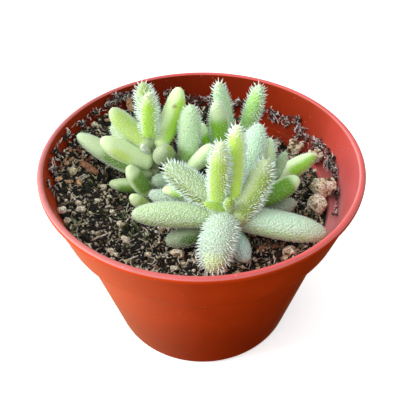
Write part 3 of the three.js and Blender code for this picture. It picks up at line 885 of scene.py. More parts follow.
LEAF_GROUPS["slim"] = [
    LeafPlan(0.68, (32, 7, 8), (15.5, 5.6, 5.2), Skin.LEAFY, Hair.SHORT, (190, 80, 0.3, 1.3), shade=1.3),
    LeafPlan(
        1.0, (80, 80, 0), (9, 3.4, 3.2), Skin.MINT, Hair.DENSE,
        (180, 40, 0.1, 0.6), 130, waist=0.1, shade=2.1,
    ),
    LeafPlan(0.9, (45, 64, 0), (7, 2.8, 2.6), Skin.MINT, Hair.MEDIUM, (270, 60, 0, 0.7), 350, shade=0.9),
]
LEAF_GROUPS["left"] = [
    LeafPlan(
        0.51, (161, 13, 16), (24, 6.4, 5.8), Skin.MARGINED, Hair.SHORT, (25, 34, 0.05, 0.62), 154, shade=0.85
    ),
    LeafPlan(
        0.74, (180, 24, 16), (14.5, 6.6, 6.2), Skin.CREAM, Hair.SPARSE,
        (10, 30, 0.35, 0.75), 215, waist=0.12, shade=1.18,
    ),
    LeafPlan(
        0.97, (150, 20, 24), (13.5, 6.4, 6), Skin.CREAM, Hair.FRINGE,
        (50, 52, 0, 0.92), 190, waist=0.08, root=2.6, shade=0.87,
    ),
    LeafPlan(
        1.0, (107, 61, 8), (14.5, 5.6, 4.8), Skin.CREAM, Hair.LONG, (90, 45, 0.1, 0.95), 110, shade=0.9
    ),
    LeafPlan(1.0, (84, 72, 2), (14.5, 5, 4.6), Skin.FRESH, Hair.LONG, (90, 45, 0, 0.85), 252, root=-1.4),
    LeafPlan(
        0.95, (61, 22, 46), (16.5, 6.4, 5.6), Skin.FRESH, Hair.FRINGE,
        (160, 45, 0, 0.85), 20, (0.68, 110, 0.9), waist=0.1, root=2.6, shade=1.2,
    ),
    LeafPlan(0.78, (300, 55, 0), (7, 6, 5.8), Skin.CREAM, Hair.SPARSE, (350, 60, 0.1, 1.3), 330, shade=0.62),
    LeafPlan(
        0.66, (140, 10, 14), (17, 5.4, 5), Skin.CREAM, Hair.MEDIUM, (90, 120, -1, 0.3), 120, shade=0.85
    ),
    LeafPlan(0.86, (222, 66, 0), (3.4, 2.8, 2.6), Skin.MILKY, Hair.SHORT, shade=0.7),
    LeafPlan(0.72, (88, 18, 10), (12, 5, 4.6), Skin.FRESH, Hair.SHORT),
]
LEAF_GROUPS["middle"] = [
    LeafPlan(0.95, (66, 78, 0), (16.5, 6.6, 5.6), Skin.MINT, Hair.MEDIUM, (90, 60, 0, 0.2), 75),
    LeafPlan(
        0.97, (340, 46, 20), (10, 5.6, 5), Skin.CREAM, Hair.SHORT,
        (270, 60, 0, 0.7), scar=(0.93, 250, 0.9), shade=1.2,
    ),
    LeafPlan(0.6, (77, 48, 4), (19, 4, 3.8), Skin.FRESH, Hair.MEDIUM, (90, 90, 0, 1), 95, shade=1.5),
    LeafPlan(0.55, (203, 24, 0), (9.5, 5.2, 5), Skin.GREY, Hair.SHORT, (0, 60, 0, 0.5), 220, shade=0.88),
    LeafPlan(0.5, (120, 20, 10), (12, 4.8, 4.4), Skin.GREY, Hair.SHORT, seat=150),
]
LEAF_GROUPS["back"] = [
    LeafPlan(
        0.8, (160, 64, 20), (10, 3.6, 3.4), Skin.LEAFY, Hair.MEDIUM, (90, 180, -1, 0.7), 200, shade=2.0
    ),
    LeafPlan(1.0, (111, 78, 0), (14, 5.4, 5), Skin.LEAFY, Hair.MEDIUM, (90, 80, -1, 0.66), 290, shade=1.05),
]
LEAF_GROUPS["rear"] = [
    LeafPlan(1.0, (150, 74, 4), (15.5, 5.2, 4.8), Skin.MINT, Hair.LONG, (180, 50, 0, 0.9), 180, shade=1.25),
    LeafPlan(0.98, (30, 66, 12), (15, 5.4, 5), Skin.MINT, Hair.LONG, (150, 80, 0, 0.9), 0, shade=1.15),
    LeafPlan(0.5, (52, 14, 8), (12, 5, 4.6), Skin.GREY, Hair.SHORT),
]
LEAF_GROUPS["low"] = [
    LeafPlan(0.36, (184, 4, 8), (12, 4.8, 4.4), Skin.MARGINED, Hair.SPARSE, (330, 80, 0, 0.8), stem="left"),
    LeafPlan(1.0, (158, 54, 8), (9, 5.2, 5), Skin.MARGINED, Hair.SPARSE, (90, 80, 0, 0.7), 110, shade=0.95),
    LeafPlan(0.85, (190, 36, 20), (5, 4, 3.8), Skin.CREAM, Hair.SPARSE, (60, 50, 0, 0.6), 240, shade=1.25),
]

LEAVES = {
    f"{group}_{number}": replace(plan, stem=plan.stem or group)
    for group, plans in LEAF_GROUPS.items()
    for number, plan in enumerate(plans, 1)
}

LEAF_SLOTS = dict.fromkeys(Skin, "leaf_pale")
LEAF_SLOTS |= dict.fromkeys((Skin.YOUNG, Skin.LIME), "leaf_lime")
LEAF_SLOTS |= dict.fromkeys((Skin.MINT, Skin.FRESH, Skin.LEAFY), "leaf_fresh")
LEAF_SLOTS |= dict.fromkeys((Skin.OLIVE, Skin.GREY), "leaf_grey")

FIRST_LEAF_SEED, LEAF_SEED_STEP = 1000, 10


@dataclass
class Leaf:
    """One leaf as it shows: its plump skin and every bristle on it."""

    name: str
    plan: LeafPlan
    seed: int
    sides: int = 34
    rings: int = 30
    bristle_sides: int = 3
    bristle_rows: tuple[float, ...] = (-0.1, 0.14, 0.55)
    bristle_radii: tuple[float, ...] = (0.22, 0.14, 0.09)
    lean: float = 0.2
    bend: float = 0.2
    face_loss: float = 0.6

    RING_CROWDING = 1.3
    FIRST_RING = 0.001
    UNEVENNESS = ((0.022, 3.2), (0.012, 1.1))  # depth as a share of the girth, and size in millimetres
    EVEN_FOOT = 0.2
    PROBES = 200
    ORDER_JITTER = 0.4
    ANGLE_JITTER = 0.12
    BARE_FOOT, BARE_TIP = 0.03, 0.995
    STEP, LAST_STEP_ON = 1e-3, 0.9  # how far directions are probed, and the share past which backwards
    TIP_FADE, FACE_FADE = (0.8, 1), (0.8, 0.95)  # shares where bristles stop leaning, and thicken again
    FOOT_FADE = (0.02, 0.3)
    FOOT_REACH = 0.55
    WAYWARDNESS = 0.16
    REACHES = (0.62, 1.15)
    THINNEST, GIRTH_GAIN = 0.22, 0.68

    def skin_shape(self, shape: Shape) -> None:
        """Adds the skin: the plan's surface, moved in and out by two fields of soft unevenness.

        Args:
            shape: what the skin is added to.
        """
        steps = np.sin(0.5 * math.pi * np.linspace(0, 1, self.rings + 1)[:-1]) ** self.RING_CROWDING
        share = self.plan.start + (1 - self.plan.start) * np.maximum(steps, self.FIRST_RING)
        share, angle = np.meshgrid(share, around(self.sides), indexing="ij")
        points = self.plan.surface(share, angle)
        centre = points.mean(axis=1, keepdims=True)
        uneven = sum(
            depth * noise(points, size, self.seed + i) for i, (depth, size) in enumerate(self.UNEVENNESS)
        )
        uneven = 1 + (uneven * smoothstep(share, 0, self.EVEN_FOOT))[..., None]
        points = centre + (points - centre) * uneven
        ends = self.plan.surface(np.array([self.plan.start, 1.0]), np.zeros(2))
        points = np.concatenate([points.reshape(-1, 3), ends])
        stripe = np.append(self.plan.green(share, angle).ravel(), [0, 0])
        values = {"stripe": stripe, "shade": self.plan.shade, "scar": self.plan.scarred(points)}
        shape.add(points, tube_faces(self.rings, self.sides), 0, **values)

    def bristles(self, shape: Shape, random: Generator) -> int:
        """Adds the bristles: bent cones spread evenly by area, a golden angle apart round the leaf.

        Args:
            shape: what they are added to.
            random: source of the small differences between them.

        Returns:
            How many there are.
        """
        plan, jitter = self.plan, self.ORDER_JITTER
        length, spacing, kept_rows = plan.hair.value
        fine = np.linspace(0, 1, self.PROBES)
        area = trapezia(plan.fullness(fine) * math.pi * 0.5 * (plan.size[1] + plan.size[2]), fine)
        count = int(area[-1] * plan.size[0] / spacing**2)
        order = (np.arange(count) + 0.5 + random.uniform(-jitter, jitter, count)) / count
        lowest = max(self.BARE_FOOT, plan.start + self.BARE_FOOT)
        share = np.clip(np.interp(order * area[-1], area, fine), lowest, self.BARE_TIP)
        angle = GOLDEN_ANGLE * np.arange(count)
        angle = angle + random.uniform(-self.ANGLE_JITTER, self.ANGLE_JITTER, count)
        root = plan.surface(share, angle)
        step = self.STEP * np.where(share > self.LAST_STEP_ON, -1, 1)
        onward = unit((plan.surface(share + step, angle) - root) / step[:, None])
        outward = unit(np.cross(plan.surface(share, angle + self.STEP) - root, onward))
        lean = self.lean * (1 - smoothstep(share, *self.TIP_FADE))[:, None]
        growing = unit(outward + lean * onward + random.normal(0, self.WAYWARDNESS, (count, 3)))
        side, other = cross_axes(growing)
        grown = self.FOOT_REACH + (1 - self.FOOT_REACH) * smoothstep(share, *self.FOOT_FADE)
        reach = length * random.uniform(*self.REACHES, count) * grown
        reach *= 1 - self.face_loss * np.sin(angle) ** 2 * (1 - smoothstep(share, *self.FACE_FADE))
        rows = np.array(self.bristle_rows[:kept_rows])
        bent = self.bend * reach[:, None, None] * np.maximum(rows, 0)[:, None] ** 2 * onward[:, None]
        centre = root[:, None] + reach[:, None, None] * rows[None, :, None] * growing[:, None] + bent
        radius = np.array(self.bristle_radii[:kept_rows])
        radius = radius * (self.THINNEST + self.GIRTH_GAIN * reach)[:, None]
        tip = root + reach[:, None] * (growing + self.bend * onward)
        ends = np.stack([centre[:, 0], tip], axis=1)
        shape.spindles(centre, side[:, None], other[:, None], radius, radius, ends, self.bristle_sides, 1)
        return count

    def build(self, materials: list[Material]) -> Object:
        """Makes the piece, with the skin's material and the bristles', and hides the node it stands for."""
        shape = Shape()
        self.skin_shape(shape)
        count = self.bristles(shape, np.random.default_rng(self.seed))
        made = shape.piece(f"leaf_{self.name}_bristled", materials)
        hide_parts(f"leaf_{self.name}")
        LOG.info("%s: %d bristles, %d faces", made.name, count, len(made.data.polygons))
        return made


# The pot


@dataclass
class NurseryPot:
    """Round tapered pot with a stepped collar, a rolled lip, a raised floor and drain holes."""

    height: float = 61.0
    rim_radius: float = 45.0
    rim_band: float = 1.75
    lip_height: float = 1.8
    lip_overhang: float = 0.6
    lip_draft: float = 0.2
    collar_depth: float = 15.6
    collar_foot: float = 41.0
    collar_inner_foot: float = 39.5
    wall_top: float = 38.9
    base: float = 29.7
    wall: float = 1.1
    floor_lift: float = 1.6
    foot_ring: float = 6.5
    edge: float = 0.5
    hole: float = 2.6
    holes: int = 6
    hole_circle: float = 14.5
    spoke_start: float = 7.0
    columns: int = 168
    spacing: float = 3.0
    corner_points: int = 5
    spoke_points: int = 12

    CLEARANCE = 0.3  # from a corner's points, as a share of the spacing
    PLATE_LAP = 1.0
    HOLE_RINGS = (0, 0.12, 0.5, 1.0)  # shares of the way from a hole to its sector's edge
    SHARP = 38
    # where the painted highlight, painted glints and painted shade lie, and how strong they are
    LIP_FADE = (-0.45, -0.3)  # heights above the top
    WORN_FADE = (-0.55, -0.1)  # radii beyond the rim's
    LIME_FADE = (1.5, 7.5)  # heights above the ledge
    FACE_ROW = 0.8  # how far below the top the lip's face has a row of points of its own
    DAMP_FADE = (4, 50)
    BELOW_LEDGE = 1.5
    BRINK = (0.4, 0.55)  # how wide and deep the painted glint along the lip's inner edge is
    BLEACHED, CHALKY, LIMY = (-15, 3.6), (188, 1.2), (-28, 2)  # azimuth, and how closely it keeps to it
    STAINED, STAIN_SPREAD = 100, 0.4
    LIP_BLOOM = (0.06, 0.4)
    WORN_BLOOM, BRINK_BLOOM, LIME_BLOOM, INSIDE_BLOOM = 0.3, 0.45, 0.4, 0.08
    DAMP_STAIN, LIP_STAIN = 0.6, 0.25

    @property
    def ledge(self) -> float:
        """Height of the ledge inside the collar."""
        return self.height - self.collar_depth + self.wall

    def collar_inside(self, height: Array) -> Array:
        """Radius of the collar's inner face: a straight taper from the ledge to the lip."""
        share = (height - self.ledge) / (self.height - self.ledge)
        return self.collar_inner_foot + share * (self.rim_radius - self.rim_band - self.collar_inner_foot)

    def profile(self) -> Array:
        """Radius and height round the wall, from the plate's underside over the lip to its upper face.

        Each corner between two straight runs becomes a parabola that leaves the runs at the corner's
        radius, and long runs get points in between.
        """
        step, edge, floor = self.height - self.collar_depth, self.edge, self.floor_lift + self.wall
        lip, rim, top = self.rim_radius - self.lip_overhang, self.rim_radius, self.height
        inside = self.rim_radius - self.rim_band
        wall = self.wall_top - self.wall
        corners = [  # radius, height, and how far from the corner the bend starts
            (self.base - self.foot_ring - self.floor_lift, self.floor_lift, 0.3),
            (self.base - self.foot_ring, 0, 0.25),
            (self.base - 2 * edge, 0, 0.4),
            (self.base, 2 * edge, 0.6),
            (self.wall_top, step, 0.3),
            (self.collar_foot, step, 0.5),
            (lip, top - self.lip_height, 0.12),
            (rim, top - self.lip_height + self.lip_draft, 0.2),
            (rim, top - self.FACE_ROW, 0.06),
            (rim, top - edge, 0.25),
            (rim - edge, top, 0.3),
            (inside + edge, top, 0.25),
            (inside, top - edge, 0.25),
            (self.collar_inner_foot, self.ledge, 0.5),
            (wall - edge, self.ledge, 0.3),
            (wall - 2 * edge, self.ledge - 2 * edge, 0.5),
            (self.base - self.wall, floor + edge, 0.25),
            (self.base - self.wall - edge, floor, 0.25),
        ]
        start = np.array([self.plate_radius, self.floor_lift])
        end = np.array([self.plate_radius, floor])
        corners = np.array(corners)
        middle = corners[:, :2]
        before = unit(np.vstack([start, middle[:-1]]) - middle)
        after = unit(np.vstack([middle[1:], end]) - middle)
        t = np.linspace(0, 1, self.corner_points)[None, :, None]
        reach = corners[:, 2][:, None, None]
        bends = middle[:, None] + reach * ((1 - t) ** 2 * before[:, None] + t**2 * after[:, None])
        line = np.vstack([start, bends.reshape(-1, 2), end])
        travelled = np.concatenate([[0], np.cumsum(np.linalg.norm(np.diff(line, axis=0), axis=1))])
        extra = np.arange(self.spacing, travelled[-1], self.spacing)
        clear = np.abs(extra[:, None] - travelled).min(axis=1) > self.CLEARANCE * self.spacing
        places = np.sort(np.concatenate([travelled, extra[clear]]))
        return np.stack([np.interp(places, travelled, part) for part in line.T], axis=1)

    @property
    def plate_radius(self) -> float:
        """Radius at which the drilled plate meets the turned wall."""
        return self.base - self.foot_ring - self.floor_lift - self.PLATE_LAP

    def plate(self, shape: Shape, height: float, down: bool) -> None:
        """Adds one face of the drilled plate: each hole is joined by straight lines to its sector's edge.

        Args:
            shape: what the face is added to.
            height: its height.
            down: whether it faces down.
        """
        outer, inner = self.columns // self.holes, self.columns // self.holes // 4
        share = np.array(self.HOLE_RINGS)[:, None, None]
        spoke = np.linspace(self.spoke_start, self.plate_radius, self.spoke_points + 1)
        for i in range(self.holes):
            low, high = i * TURN / self.holes, (i + 1) * TURN / self.holes
            runs = [
                (np.linspace(low, high, outer + 1)[:-1], self.plate_radius),
                (high, spoke[:0:-1]),
                (np.linspace(high, low, inner + 1)[:-1], self.spoke_start),
                (low, spoke[:-1]),
            ]
            edge = np.concatenate([turned(angle, radius, height) for angle, radius in runs])
            self.drilled(shape, edge, turned(0.5 * (low + high), self.hole_circle, height), share, down)
        edge = turned(around(inner * self.holes), self.spoke_start, height)
        self.drilled(shape, edge, np.array([0, 0, height]), share, down)

    def drilled(self, shape: Shape, edge: Array, centre: Array, share: Array, down: bool) -> None:
        """Adds the face between a round hole and an outline, and half of the hole's wall.

        Args:
            shape: what they are added to.
            edge: the outline's points, counter-clockwise.
            centre: the hole's centre.
            share: shares of the way from the hole to the outline.
            down: whether the face looks down.
        """
        hole = centre + self.hole * unit(edge - centre)
        half_way_in = xyz(hole[:, 0], hole[:, 1], self.floor_lift + 0.5 * self.wall)
        rows = np.concatenate([half_way_in[None], hole + share * (edge - hole)])
        shape.add(rows if down else rows[::-1], grid_faces(len(rows), len(edge)), 0)

    def weather(self, profile: Array, angle: Array) -> dict[str, Array]:
        """How much painted highlight, painted glint and painted shade each place gets.

        The lip's top gets the painted highlight all round, painted glints along its outer edge and at
        the left and back, and some painted shade at the left; inside the collar the right side, where the
        light falls, gets the painted highlight, with painted reflections near the ledge and along the
        lip's inner edge, and the left and back get painted shade, as does the foot outside, darker
        towards the bottom.

        Args:
            profile: radius and height of each row.
            angle: azimuth of each column.

        Returns:
            Values by attribute, rows by columns.
        """
        radius, height = profile.T
        lip = smoothstep(height - self.height, *self.LIP_FADE)[:, None]
        worn = lip * smoothstep(radius - self.rim_radius, *self.WORN_FADE)[:, None]
        inner = np.arange(len(profile)) > np.argmax(height)
        inside = (inner & (height > self.ledge - self.BELOW_LEDGE))[:, None] * (1 - lip)
        lime = inside * (1 - smoothstep(height - self.ledge, *self.LIME_FADE))[:, None]
        width, depth = self.BRINK
        brink = inner & (height > self.height - depth) & (radius < self.rim_radius - self.rim_band + width)
        # painted shade on the foot outside, darker towards the bottom
        damp = (1 - inner[:, None]) * (1 - smoothstep(height, *self.DAMP_FADE))[:, None]
        # azimuths of the lit right side inside, of the painted glints on the lip's left, and of the painted
        # reflection near the ledge
        right, chalk, limy = (facing(angle, *side)[None] for side in (self.BLEACHED, self.CHALKY, self.LIMY))
        # the inner wall away from the light, for painted shade
        left = np.cos(angle - math.radians(self.STAINED))
        left = np.clip(1 - self.STAIN_SPREAD + self.STAIN_SPREAD * left, 0, 1)[None] * (1 - right)
        everywhere, more = self.LIP_BLOOM
        # painted glints and reflections on the lip, along its edges and near the ledge
        bloom = lip * (everywhere + more * chalk) + self.WORN_BLOOM * worn
        bloom = bloom + self.BRINK_BLOOM * brink[:, None] * right
        bloom = bloom + (self.LIME_BLOOM * lime + self.INSIDE_BLOOM * inside) * limy
        # painted shade: inside away from the light, on the foot outside, and on the lip at the left
        stain = inside * left + self.DAMP_STAIN * damp + self.LIP_STAIN * lip * chalk
        # painted highlight: on the lip's top, and inside on the right where the light falls
        values = {"bleach": lip + inside * right, "bloom": bloom, "stain": stain}
        return {name: np.clip(value, 0, 1) for name, value in values.items()}

    def build(self, material: Material) -> Object:
        """Makes the piece: the turned wall, the drilled plate's two faces and the holes' walls."""
        shape = Shape()
        profile, angle = self.profile(), around(self.columns)
        points = turned(angle, profile[:, :1], profile[:, 1:])
        shape.add(points, grid_faces(len(profile), self.columns), 0, **self.weather(profile, angle))
        self.plate(shape, self.floor_lift, True)
        self.plate(shape, self.floor_lift + self.wall, False)
        made = shape.piece("nursery_pot", [material], merge=True)
        made.data.set_sharp_from_angle(angle=math.radians(self.SHARP))
        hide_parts("pot")
        return made


# What lies in the pot


@dataclass
class PottingMix:
    """The mix: a crumbly surface, banked against the left and back of the collar, on a plain body."""

    pot: NurseryPot
    level: float = 45.0
    bank_rise: float = 13.75
    bank_azimuth: float = 160.0
    bank_spread: float = 125.0
    bank_foot: float = 20.0
    bank_top: float = 50.4
    hump: float = 0.45
    ripple: float = 0.3
    cells: int = 270
    skin_gap: float = 0.06
    wall_gap: float = 0.02
    moss_size: float = 9.0
    deep_shade: float = 0.3

    LONG_WAY, SHORT_WAY = (0.42, 0.45), (0.3, 0.25)  # a crumb's half sizes in cells: least, and range
    TALL = (0.25, 0.45, 0.35)  # its height: least, range with its girth, and a range of its own
    DOME, STEP_UP = 0.8, 0.1
    BIG, MID, SMALL = (3.1, 11), (1.45, 23), (0.8, 37)  # side of a cell, and seed
    BIG_HEIGHT, MID_HEIGHT, SMALL_HEIGHT = 0.42, 0.62, 0.7
    DUST_HEIGHT, DUST_SIZE, SINK = 0.16, 0.5, 1.15
    WARP, WARP_SIZE = 0.5, 1.7
    MID_SHADE, BIG_SHADE = 0.4, 0.12
    HUMPS, RIPPLES = ((0.52, 1.1), (0.47, -0.4)), (0.9, -0.6)  # radians a millimetre, and phases
    GUESS = 0.88  # share of the rim's radius at which the bank's height is read
    CORNER, HEEL = (1.0, 0.15), (0.3, 0.9)  # the body's rings: in from the wall, and up from the floor
    NECK, BRIM = (1.3, 1.6), (1.1, 1.2)  # in from the wall, and down from the ledge
    SPILL = (2.5, 1.3)  # how far the brim goes out and up where the mix lies on the ledge
    TOPS_LEDGE = (-0.3, 0.6)
    MOSS_FADE = (-0.05, 0.45)
    SPILL_FADE = (37.2, 39.3)

    def banked(self, x: Array, y: Array) -> Array:
        """Height without crumbs: level, plus the bank, plus low humps and ripples of sines.

        The bank is its rise times half of 1 + cos(180 a/125), a being the angle from the bank's
        azimuth, times a smoothstep of the distance from the axis.
        """
        away = np.degrees(apart(np.arctan2(y, x), math.radians(self.bank_azimuth)))
        along = 0.5 + 0.5 * np.cos(np.minimum(math.pi, away * math.pi / self.bank_spread))
        across = smoothstep(np.hypot(x, y), self.bank_foot, self.bank_top)
        (across_rate, across_phase), (back_rate, back_phase) = self.HUMPS
        humps = self.hump * np.sin(across_rate * x + across_phase) * np.cos(back_rate * y + back_phase)
        ripples = self.ripple * np.sin(self.RIPPLES[0] * x + self.RIPPLES[1] * y)
        return self.level + self.bank_rise * along * across + humps + ripples

    def crumbs(self, x: Array, y: Array, size: float, seed: int) -> tuple[Array, Array]:
        """Domes of crumbs: one stretched, turned ellipsoid in each square cell, the highest winning.

        Args:
            x: places across.
            y: places back.
            size: side of a cell in millimetres.
            seed: chooses other crumbs.

        Returns:
            Height above the crumbs' feet, and each place's crumb's own random number.
        """
        cell = xyz(np.floor(x / size), np.floor(y / size)).astype(np.int64)
        best, own = np.zeros_like(x), np.zeros_like(x)
        for shift in np.ndindex(3, 3):
            near = cell + np.array([shift[0] - 1, shift[1] - 1, 0])
            left, back, girth, turn, lift = (lattice(near, seed + k) for k in range(5))
            across, over = x / size - near[..., 0] - left, y / size - near[..., 1] - back
            cosine, sine = np.cos(math.pi * turn), np.sin(math.pi * turn)
            long_way = (cosine * across + sine * over) / (self.LONG_WAY[0] + self.LONG_WAY[1] * girth)
            short_way = (cosine * over - sine * across) / (self.SHORT_WAY[0] + self.SHORT_WAY[1] * girth)
            inside = 1 - long_way**2 - short_way**2
            least, with_girth, own_range = self.TALL
            tall = least + with_girth * girth + own_range * lift
            top = tall * np.sqrt(np.maximum(inside, 0)) ** self.DOME
            top = np.where(inside > 0, top + self.STEP_UP, 0)
            own = np.where(top > best, lattice(near, seed + 7), own)
            best = np.maximum(best, top)
        return size * best, own

    def relief(self, x: Array, y: Array) -> tuple[Array, Array]:
        """Height of the crumbly surface and its shade, from three sizes of crumbs and a fine noise."""
        places = xyz(x, y)
        x = x + self.WARP * noise(places, self.WARP_SIZE, 61)
        y = y + self.WARP * noise(places, self.WARP_SIZE, 62)
        big, big_own = self.crumbs(x, y, *self.BIG)
        mid, mid_own = self.crumbs(x, y, *self.MID)
        small, small_own = self.crumbs(x, y, *self.SMALL)
        lump = self.BIG_HEIGHT * big + self.MID_HEIGHT * mid + self.SMALL_HEIGHT * small
        lump = lump + self.DUST_HEIGHT * noise(places, self.DUST_SIZE, 5) - self.SINK
        # where no small crumb lies, in the gaps between crumbs, the shade falls to 0.4 of the mid crumb's
        # number: painted shade
        shade = np.where(small > 0, small_own, self.MID_SHADE * mid_own) + self.BIG_SHADE * (big_own - 0.5)
        return self.banked(x, y) + lump, np.clip(shade, 0, 1)

    def edge_radius(self, angle: Array) -> Array:
        """Reach of the mix: the pot's wall below the ledge, or the collar where the bank tops the ledge."""
        inner = self.pot.wall_top - self.pot.wall - 2 * self.pot.edge - self.wall_gap
        reach = self.GUESS * self.pot.rim_radius
        guess = self.banked(reach * np.cos(angle), reach * np.sin(angle))
        collar = self.pot.collar_inside(guess) - self.skin_gap
        return inner + smoothstep(guess - self.pot.ledge, *self.TOPS_LEDGE) * (collar - inner)

    def build(self, material: Material) -> Object:
        """Makes the piece: a disc of squares for the surface, and a body down to the pot's floor.

        A square's point (u, v) goes to the disc at radius max(|u|, |v|) and at an angle of an eighth
        of a turn times the smaller over the larger, from the larger's axis.
        """
        line = np.linspace(-1, 1, self.cells + 1)
        u, v = np.meshgrid(line, line, indexing="xy")
        wide = np.abs(u) >= np.abs(v)
        larger, smaller = np.where(wide, u, v), np.where(wide, v, u)
        turn = math.pi / 4 * smaller / np.where(larger == 0, 1, larger)
        angle = np.where(wide, turn, math.pi / 2 - turn)
        x, y = larger * np.cos(angle), larger * np.sin(angle)
        reach = self.edge_radius(np.arctan2(y, x))
        x, y = x * reach, y * reach
        height, shade = self.relief(x, y)
        moss = smoothstep(noise(xyz(x, y), self.moss_size, 3), *self.MOSS_FADE)
        surface = xyz(x, y, height)
        shape = Shape()
        squares = grid_faces(self.cells + 1, self.cells + 1, closed=False)
        shape.add(surface, squares, crumb=shade, moss=moss)
        rim = np.concatenate([surface[:-1, -1], surface[-1, :0:-1], surface[:0:-1, 0], surface[0, :-1]])
        angle = np.arctan2(rim[:, 1], rim[:, 0])
        spilled = smoothstep(np.hypot(rim[:, 0], rim[:, 1]), *self.SPILL_FADE)
        wall, ledge = self.pot.wall_top - self.pot.wall, self.pot.ledge
        inside, floor = self.pot.base - self.pot.wall, self.pot.floor_lift + self.pot.wall
        body = [
            (inside - self.CORNER[0], floor + self.CORNER[1]),
            (inside - self.HEEL[0], floor + self.HEEL[1]),
            (wall - self.NECK[0], ledge - self.NECK[1]),
            (wall - self.BRIM[0] + spilled * self.SPILL[0], ledge - self.BRIM[1] + spilled * self.SPILL[1]),
        ]
        rows = [turned(angle, radius, tall) for radius, tall in body]
        rows = np.concatenate([np.stack(rows), rim[None]])
        shape.add(rows, grid_faces(len(rows), len(rim)), 0, crumb=self.deep_shade)
        column = np.arange(len(rim))
        under = np.stack([np.full(len(rim), len(rim)), np.roll(column, -1), column, column], axis=1)
        middle = [0, 0, body[0][1]]
        shape.add(np.concatenate([rows[0], [middle]]), under, 0, crumb=self.deep_shade)
        made = shape.piece("potting_mix", [material], merge=True)
        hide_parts("soil")
        return made

    def seats(self, random: Generator, count: int, margin: float) -> Array:
        """Places on the surface, spread evenly over it.

        Args:
            random: source of the places.
            count: how many.
            margin: how far they stay from the edge.

        Returns:
            Points on the crumbly surface.
        """
        angle = random.uniform(-math.pi, math.pi, count)
        radius = (self.edge_radius(angle) - margin) * np.sqrt(random.uniform(0, 1, count))
        x, y = radius * np.cos(angle), radius * np.sin(angle)
        return xyz(x, y, self.relief(x, y)[0])


@dataclass(frozen=True)
class StonePlan:
    """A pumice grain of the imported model: its centre, half sizes and turn about Z in degrees."""

    centre: Triple
    half: Triple
    turn: float


STONES = {
    "stone_1": StonePlan((35.9, -0.9, 49.2), (3.7, 3.1, 2.8), 10),
    "stone_2": StonePlan((33, -6.8, 48), (2.6, 2.9, 2.2), 40),
    "stone_3": StonePlan((29.6, 19.4, 48.4), (2.3, 2.6, 2.2), 70),
    "stone_4": StonePlan((35.4, 13.4, 49.4), (2.2, 2.2, 2), 15),
    "stone_5": StonePlan((-6.4, -23.4, 45.6), (2.2, 1.4, 1.2), -8),
    "stone_6": StonePlan((23.5, -23.8, 46.6), (1.9, 1.4, 1.3), 20),
}


@dataclass
class Pumice:
    """A pumice grain as it shows: lumpy, with pits where bubbles broke, darkened by painted shade."""

    name: str
    plan: StonePlan
    rows: int = 44
    sides: int = 64
    squareness: float = 3.2
    facets: int = 13

    BLOCKY, PLUMP = 0.9, 1.03
    WAVES = (0.07, 0.06)
    CUTS, SHALLOWEST = (0.82, 0.94), 1.04  # distances of the flat cuts, and of a place that none reaches
    GLANCING = 0.3
    LUMPS = ((0.13, 1.6), (0.06, 0.7))  # depth as a share of the radius, and size in millimetres
    PIT_SIZE, PIT_DEPTH, PIT_FADE = 1.0, 0.16, (0.18, 0.34)
    TINT, PIT_TINT = 0.84, 0.65
    MOTTLES = ((0.4, 2.6), (0.35, 0.6))  # strength, and size in millimetres

    def build(self, material: Material) -> Object:
        """Makes the piece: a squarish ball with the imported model's two waves, cut flat, lumpy and pitted.

        A squarish ball is a ball divided by the sum of its coordinates' powers, to the inverse power.
        A flat cut keeps each direction no longer than the plane's distance over the cosine to its normal.
        """
        climb = math.pi * (np.arange(self.rows) + 0.5) / self.rows
        climb, turn = np.meshgrid(climb, around(self.sides), indexing="ij")
        ball = turned(turn, np.sin(climb), -np.cos(climb)).reshape(-1, 3)
        ball = np.concatenate([ball, [-UP, UP]])
        phase = self.plan.centre[0] + self.plan.centre[1]
        (first, second), (x, y, z) = self.WAVES, ball.T
        wave = first * np.sin(3 * x + phase) + second * np.cos(4 * y - 2 * z + phase)
        blocky = self.BLOCKY / (np.abs(ball) ** self.squareness).sum(axis=1) ** (1 / self.squareness)
        random = np.random.default_rng(round(abs(phase) * 10))
        toward = np.maximum(ball @ unit(random.normal(size=(self.facets, 3))).T, self.GLANCING)
        flat = np.minimum(self.SHALLOWEST, (random.uniform(*self.CUTS, self.facets) / toward).min(axis=1))
        sized = ball * np.array(self.plan.half) * (blocky * flat * (1 + wave))[:, None]
        lumps = sum(depth * noise(sized + phase, size, 7 + i) for i, (depth, size) in enumerate(self.LUMPS))
        pits = smoothstep(noise(sized + phase, self.PIT_SIZE, 9), *self.PIT_FADE)
        sized = sized * (self.PLUMP + lumps - self.PIT_DEPTH * pits)[:, None]
        angle = math.radians(self.plan.turn)
        across = sized[:, :1] * [math.cos(angle), math.sin(angle), 0]
        over = sized[:, 1:2] * [-math.sin(angle), math.cos(angle), 0]
        points = np.array(self.plan.centre) + across + over + sized[:, 2:] * UP
        # darker in the pits: painted shade
        tint = self.TINT - self.PIT_TINT * pits
        for i, (strength, size) in enumerate(self.MOTTLES):
            tint = tint + strength * noise(points, size, 4 + i)
        shape = Shape()
        shape.add(points, tube_faces(self.rows, self.sides), 0, tint=tint)
        made = shape.piece(f"{self.name}_pumice", [material])
        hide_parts(self.name)
        return made


@dataclass(frozen=True)
class Bit:
    """A bit of bark or a grain that lies in a place of its own: sizes in millimetres, angles in degrees."""

    x: float
    y: float
    length: float
    width: float
    thickness: float
    tint: float
    turn: float = 0.0
    rise: float = 0.0
    lift: float = 0.2


